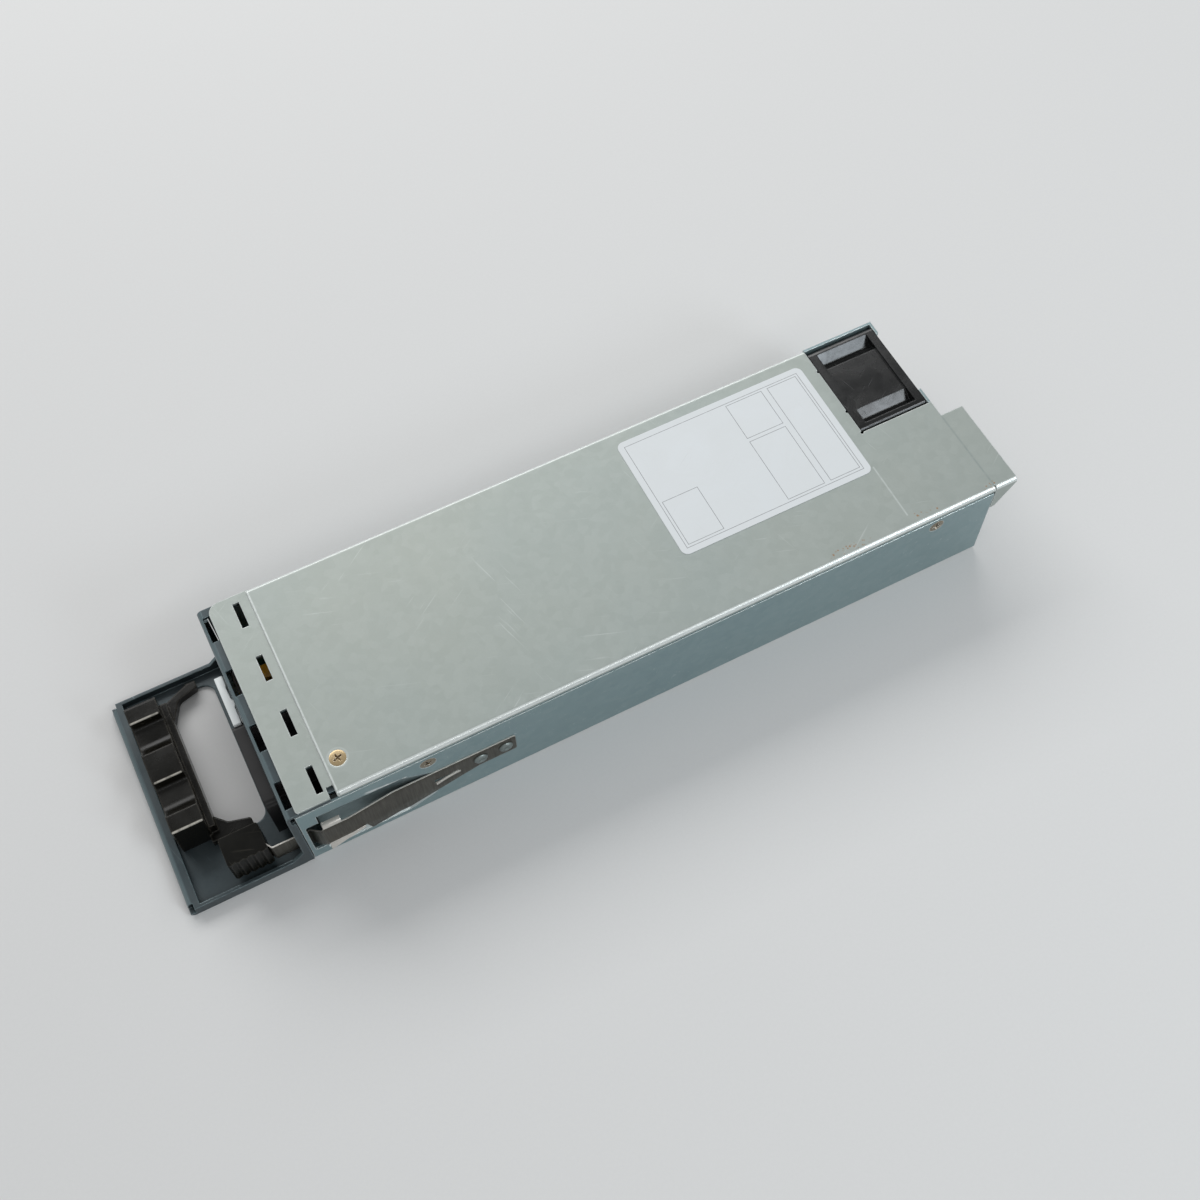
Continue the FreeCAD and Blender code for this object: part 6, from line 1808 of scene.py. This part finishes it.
        # The second finish is much lighter: bare steel on the cut edges, painted highlight on the bent
        # barb, stop and tongue.
        piece.data.materials.append(SPRING_EDGE_AND_HIGHLIGHT.material())
        thicken(piece, self.thickness, self.edge_round)
        shade_smooth(piece, angle=40.0)
        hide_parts("latch_leaf", "latch_leaf_anchor")
        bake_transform(piece)
        return piece

    def add_sheet(self, mesh: Mesh) -> None:
        """Bend the plain strip along its path, and leave the slot open.

        Args:
            mesh: The leaf's mesh.
        """
        columns = []
        for point in self.stations():
            heights = self.row_heights(point.x)
            columns.append((point.x, [mesh.verts.new((point.x * MM, point.y * MM, z * MM))
                                      for z in heights]))
        margin = 0.01
        start, end = self.slot[0] - margin, self.slot[1] + margin
        for (x0, first), (x1, second) in zip(columns, columns[1:]):
            in_slot = start <= min(x0, x1) and max(x0, x1) <= end
            for row in range(len(first) - 1):
                if in_slot and row == self.slot_row:
                    continue
                mesh.faces.new((first[row], first[row + 1], second[row + 1], second[row]))

    def add_barb(self, mesh: Mesh) -> None:
        """Bend a lip out and down along the leaf's lower edge.

        Args:
            mesh: The leaf's mesh.
        """
        start, end = self.barb
        columns = []
        for i in range(self.barb_steps + 1):
            x = start + (end - start) * i / self.barb_steps
            out = self.barb_reach * max(self.barb_least, 1.0 - self.barb_taper * (x - start))
            low = self.row_heights(min(x, self.barb_root))[0] + self.barb_lap
            columns.append([mesh.verts.new((x * MM, (self.bow_y - out * bend) * MM,
                                            (low - out * share) * MM))
                            for share, bend in self.barb_bend])
        strip(mesh, columns, finish=1)

    def add_stop(self, mesh: Mesh) -> None:
        """Turn a short flange inwards at the leaf's upper edge.

        Args:
            mesh: The leaf's mesh.
        """
        start, end = self.stop
        columns = [[mesh.verts.new((x * MM, (self.bow_y + y) * MM, (self.stop_top + z) * MM))
                    for y, z in self.stop_bend] for x in (start, (start + end) / 2, end)]
        strip(mesh, columns, finish=1)

    def add_tongue(self, mesh: Mesh) -> None:
        """Cut a tongue free in the slot, which stays on at one end and stands out at the other.

        Args:
            mesh: The leaf's mesh.
        """
        root, tip = self.tongue
        columns = []
        for i in range(self.tongue_steps + 1):
            share = i / self.tongue_steps
            x = root + (tip - root) * share
            y = self.tongue_y - self.tongue_reach * share ** self.tongue_curve
            columns.append([mesh.verts.new((x * MM, y * MM, z * MM)) for z in self.tongue_rows])
        strip(mesh, columns, finish=1)

    def seat(self, mesh: Mesh) -> None:
        """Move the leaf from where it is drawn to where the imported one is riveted.

        Args:
            mesh: The leaf's mesh.
        """
        low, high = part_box("latch_leaf_anchor")
        shift = Vector((high.x, high.y, low.z)) - Vector(self.riveted_end)
        bmesh.ops.translate(mesh, vec=shift, verts=mesh.verts)

    def make_rivets(self) -> Piece:
        """Make domed rivet heads with a set mark, and their tails inside.

        Returns:
            The two rivets, on the leaf's outer face.
        """
        mesh = bmesh.new()
        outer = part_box("latch_leaf_anchor")[0].y
        for place in head_places("latch_rivets", self.rivet_radius, Facing.NEAR_SIDE):
            place.y = outer
            lathe(mesh, self.rivet, self.rivet_steps, at(place, Facing.NEAR_SIDE))
        piece = new_piece("leaf_rivets", mesh, RIVET)
        shade_smooth(piece, angle=50.0)
        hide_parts("latch_rivets")
        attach(piece, "case")
        return piece


@dataclass(frozen=True)
class ScrewGroup:
    """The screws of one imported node: the way they face, their finish and the first one's turn."""

    node: str
    facing: Facing
    finish: Finish
    turn: float


@dataclass
class Fasteners(SubAssembly):
    """The cover screws, countersunk with a cut drive, and the plain screws and standoffs inside.

    The drive is given by rims from the head's face down, each a share of the widest and a height.
    """

    finishes: dict[str, Finish] = field(default_factory=lambda: {
        "fan_screws": ZINC, "board_screws": ZINC, "board_standoffs": BRASS,
    })
    groups: tuple[ScrewGroup, ...] = (
        ScrewGroup("near_side_screws", Facing.NEAR_SIDE, SIDE_SCREW, 0.5),
        ScrewGroup("far_side_screws", Facing.FAR_SIDE, SIDE_SCREW, 1.2),
        ScrewGroup("top_cover_screw", Facing.UP, ZINC, 1.9),
    )
    next_turn: float = 1.1
    head: float = 0.00285
    shank: float = 0.00145
    length: float = 0.005
    sink: float = 0.0011
    steps: int = 64
    arms: int = 4
    arm_length: float = 0.0016
    arm_half_width: float = 0.00036
    arm_bulge: float = 1.02
    drive: tuple[Span, ...] = ((1.0, 0.00009), (0.95, 0.00002), (0.86, -0.0003), (0.62, -0.0011))
    drive_depth: float = 0.0013

    def make(self) -> list[str]:
        """Replace each group of cover screws by finer ones.

        Returns:
            The names of the new pieces.
        """
        return [self.make_group(group).name for group in self.groups]

    def make_group(self, group: ScrewGroup) -> Piece:
        """Cut the screws of one group, each turned a little further than the last.

        Args:
            group: The group.

        Returns:
            The screws, as one piece.
        """
        node = group.node
        mesh = bmesh.new()
        for index, place in enumerate(head_places(node, self.head, group.facing)):
            spin = Matrix.Rotation(group.turn + self.next_turn * index, 4, "Z")
            self.cut_screw(mesh, at(place, group.facing) @ spin)
        piece = new_piece(node + "_cut", mesh, group.finish)
        shade_smooth(piece, angle=38.0)
        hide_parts(node)
        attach(piece, "case")
        return piece

    def outline(self) -> list[Span]:
        """Draw a screw from the middle of its tip to the drive's rim.

        Returns:
            Radius and height of each point, with the head's face near 0.
        """
        return [
            (0.0, -self.length), (self.shank * 0.7, -self.length),
            (self.shank, -self.length + 0.0004), (self.shank, -self.sink),
            (self.head - 0.00008, -0.00022), (self.head, -0.00014),
            (self.head - 0.00005, -0.00004), (self.head - 0.00022, 0.0),
            (self.head * 0.8, 0.00006),
        ]

    def drive_radius(self, angle: float) -> float:
        """Measure from the middle to the drive's rim.

        Args:
            angle: Angle about the screw's axis.

        Returns:
            The rim's radius.
        """
        sector = math.tau / self.arms
        off = (angle + sector / 2) % sector - sector / 2
        side = self.arm_half_width / max(abs(math.sin(off)), 1e-6)
        end = self.arm_length / max(math.cos(off), 0.2)
        return min(end, side, self.arm_length * self.arm_bulge)

    def cut_screw(self, mesh: Mesh, placing: Matrix) -> None:
        """Add one screw: shank, cone, flat head and the recess cut into it.

        Args:
            mesh: The mesh to add to.
            placing: Where the screw's axis and the middle of its face go.
        """
        rings = [ring(mesh, placing, [radius] * self.steps, height)
                 for radius, height in self.outline()]
        rim = [self.drive_radius(math.tau * i / self.steps) for i in range(self.steps)]
        for scale, height in self.drive:
            rings.append(ring(mesh, placing, [radius * scale for radius in rim], height))
        rings.append(ring(mesh, placing, [0.0], -self.drive_depth))
        for first, second in zip(rings, rings[1:]):
            bridge(mesh, first, second)


@dataclass
class CoolingFan(SubAssembly):
    """The square fan: frame, rotor, motor and plug."""

    finishes: dict[str, Finish] = field(default_factory=lambda: {
        "fan_frame": FAN, "fan_rotor": FAN, "fan_shaft": SHAFT, "fan_bearings": SHAFT,
        "fan_stator": STATOR, "fan_magnet_ring": MAGNET, "fan_circuit_board": BOARD,
        "fan_plug": CONNECTOR,
    })


@dataclass
class MainsInlet(SubAssembly):
    """The mains inlet, its blades and filter board, and the status light guide.

    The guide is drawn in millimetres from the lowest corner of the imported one.
    """

    finishes: dict[str, Finish] = field(default_factory=lambda: {
        "ac_inlet": INLET, "inlet_contacts": NICKEL, "inlet_board": BOARD,
    })
    inlet_round: float = 0.0004
    guide_bar: tuple[Span, ...] = (
        (0.0, 0.0), (2.7, 0.0), (2.85, 6.25), (3.3, 7.05), (3.35, 8.75), (2.7, 9.65),
        (2.6, 14.45), (2.9, 15.15), (2.9, 19.1), (0.0, 19.1),
    )
    bar_heights: Span = (0.0, 4.0)
    guide_stem: tuple[Span, ...] = ((1.9, 1.05), (9.3, 1.05), (9.3, 8.65), (1.9, 8.65))
    stem_heights: Span = (0.2, 2.6)
    guide_round: float = 0.00035

    def make(self) -> list[str]:
        """Round the inlet's corners and make the light guide.

        Returns:
            The name of the new piece.
        """
        soften("ac_inlet", self.inlet_round)
        return [self.make_light_guide().name]

    def make_light_guide(self) -> Piece:
        """Make the clear white bar outside the wall, and its stem through it.

        Returns:
            The light guide.
        """
        mesh = bmesh.new()
        slab(mesh, self.guide_bar, *self.bar_heights)
        slab(mesh, self.guide_stem, *self.stem_heights)
        bmesh.ops.translate(mesh, vec=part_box("status_light_guide")[0], verts=mesh.verts)
        piece = new_piece("light_guide_bar", mesh, GUIDE)
        edge = piece.modifiers.new("rounding", "BEVEL")
        edge.width = self.guide_round
        edge.segments = 3
        settle(piece)
        shade_smooth(piece, angle=40.0)
        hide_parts("status_light_guide")
        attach(piece, "case")
        return piece


@dataclass
class RatingLabel(SubAssembly):
    """The blank label with ruled cells."""

    finishes: dict[str, Finish] = field(default_factory=lambda: {"rating_label": LABEL})


@dataclass
class PowerElectronics(SubAssembly):
    """The boards, the connector's contacts and everything on the main board."""

    finishes: dict[str, Finish] = field(default_factory=lambda: {
        "main_board": BOARD, "control_board": BOARD, "control_chips": EPOXY,
        "edge_contacts": GOLD, "insulator_sheet": INSULATOR, "bulk_capacitors": SLEEVE,
        "output_capacitors": SLEEVE, "film_capacitor": AMBER, "transformer_core": CORE,
        "transformer_winding": COPPER, "boost_choke": COPPER, "line_filter_choke": COPPER,
        "primary_heatsink": ALUMINIUM, "secondary_heatsink": ALUMINIUM,
        "primary_transistors": EPOXY, "secondary_transistors": EPOXY,
    })


@dataclass(frozen=True)
class Lamp:
    """A flat lamp that looks at a point, with its width and height, and its power in watts."""

    name: str
    place: Point
    aim: Point
    size: Span
    power: float
    colour: Point = (1.0, 1.0, 1.0)

    def hang(self) -> None:
        """Add the lamp to the scene."""
        data = bpy.data.lights.new(self.name, "AREA")
        data.shape = "RECTANGLE"
        data.size, data.size_y = self.size
        data.energy = self.power
        data.color = self.colour
        made = bpy.data.objects.new(self.name, data)
        bpy.context.scene.collection.objects.link(made)
        made.location = self.place
        look = Vector(self.aim) - Vector(self.place)
        made.rotation_euler = look.to_track_quat("-Z", "Y").to_euler()


@dataclass
class Studio:
    """Floor, light and camera."""

    eye: Point = (0.01849, -0.23498, 0.47960)
    aim: Point = (0.13125, 0.00254, 0.0)
    roll: float = math.radians(1.80)
    lens: float = 45.16
    film: float = 36.0
    nearest: float = 0.01
    floor_middle: Point = (0.12, 0.0, -0.00002)
    floor_size: float = 6.0
    floor_tone: float = 0.68
    floor_dark: float = 0.75
    floor_grain: float = 900.0
    floor_speckle: float = 0.06
    floor_roughness: float = 0.9
    fade: Span = (0.55, 1.25)
    sky: Colour = (0.97, 0.985, 1.0, 1.0)
    sky_light: float = 0.42
    backdrop: float = 0.62
    lamps: tuple[Lamp, ...] = (
        Lamp("key", (0.16, 1.10, 0.95), (0.12, 0.0, 0.02), (1.6, 0.7), 13.5),
        Lamp("front", (0.44, -0.72, 0.97), (0.12, 0.0, 0.02), (1.36, 0.11), 2.5),
        Lamp("low", (0.74, -0.90, 0.61), (0.25, 0.02, 0.04), (0.30, 0.26), 2.4, (0.84, 0.93, 1.0)),
        Lamp("middle", (0.78, -0.67, 0.95), (0.25, 0.02, 0.04), (0.30, 0.20), 1.4,
             (0.84, 0.93, 1.0)),
    )

    def build(self) -> list[str]:
        """Set up the studio.

        Returns:
            The names of what stands in it.
        """
        self.lay_floor()
        self.light_world()
        for lamp in self.lamps:
            lamp.hang()
        self.place_camera()
        bpy.context.scene.view_settings.view_transform = "Standard"
        return ["studio_floor", *(lamp.name for lamp in self.lamps), "view"]

    def lay_floor(self) -> None:
        """Lay a plain pale floor."""
        mesh = bmesh.new()
        size = self.floor_size / 2
        middle_x, middle_y, top = self.floor_middle
        mesh.faces.new([mesh.verts.new((middle_x + x, middle_y + y, top)) for x, y in
                        ((-size, -size), (size, -size), (size, size), (-size, size))])
        data = bpy.data.meshes.new("studio_floor")
        mesh.to_mesh(data)
        mesh.free()
        data.materials.append(self.floor_material())
        floor = bpy.data.objects.new("studio_floor", data)
        bpy.context.scene.collection.objects.link(floor)

    def floor_material(self) -> bpy.types.Material:
        """Draw the floor's material, which fades into the backdrop far away, for the camera alone.

        Returns:
            The material.
        """
        material = bpy.data.materials.new("studio_floor")
        material.use_nodes = True
        graph = Graph(material.node_tree)
        shader = material.node_tree.nodes["Principled BSDF"]
        tone = self.floor_tone
        light = (tone, tone, tone * 0.99, 1.0)
        dark = (tone * self.floor_dark, tone * self.floor_dark, tone * (self.floor_dark - 0.01), 1.0)
        speckle = graph.remap(graph.noise(graph.place(), self.floor_grain, 4.0), (0.3, 0.7),
                              (0.0, self.floor_speckle))
        graph.feed(shader.inputs["Base Color"], graph.blend(speckle, light, dark))
        shader.inputs["Roughness"].default_value = self.floor_roughness
        far = graph.remap(graph.vector("LENGTH", graph.place()), self.fade)
        share = graph.times(far, graph.node("LightPath").outputs["Is Camera Ray"])
        glow = graph.node("Emission", Color=self.sky, Strength=self.backdrop)
        mixed = graph.node("MixShader")
        graph.fill(mixed, (share, shader.outputs[0], glow.outputs[0]))
        output = material.node_tree.nodes["Material Output"]
        graph.feed(output.inputs["Surface"], mixed.outputs[0])
        return material

    def light_world(self) -> None:
        """Set an even pale surround."""
        world = bpy.data.worlds.new("studio")
        bpy.context.scene.world = world
        world.use_nodes = True
        graph = Graph(world.node_tree)
        background = world.node_tree.nodes["Background"]
        background.inputs["Color"].default_value = self.sky
        seen = graph.node("LightPath").outputs["Is Camera Ray"]
        graph.feed(background.inputs["Strength"],
                   graph.remap(seen, WHOLE, (self.sky_light, self.backdrop)))

    def place_camera(self) -> None:
        """Stand the camera above the latch side, a little rolled."""
        data = bpy.data.cameras.new("view")
        data.lens = self.lens
        data.sensor_width = self.film
        data.clip_start = self.nearest
        camera = bpy.data.objects.new("view", data)
        bpy.context.scene.collection.objects.link(camera)
        forward = (Vector(self.aim) - Vector(self.eye)).normalized()
        right = forward.cross(Vector((0.0, 0.0, 1.0))).normalized()
        down = forward.cross(right)
        rolled = right * math.cos(self.roll) + down * math.sin(self.roll)
        up = -forward.cross(rolled)
        turn = Matrix((rolled, up, -forward)).transposed().to_4x4()
        camera.matrix_world = Matrix.Translation(self.eye) @ turn
        bpy.context.scene.camera = camera


def main() -> None:
    """Build every sub-assembly and report its pieces."""
    logging.basicConfig(level=logging.INFO, format="%(message)s")
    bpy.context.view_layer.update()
    parts = (SheetCase(), RearBezel(), SpringLatch(), Fasteners(), CoolingFan(), MainsInlet(),
             RatingLabel(), PowerElectronics(), Studio())
    for part in parts:
        for piece in part.build():
            LOG.info("%s: %s", type(part).__name__, piece)


if __name__ == "__main__":
    main()
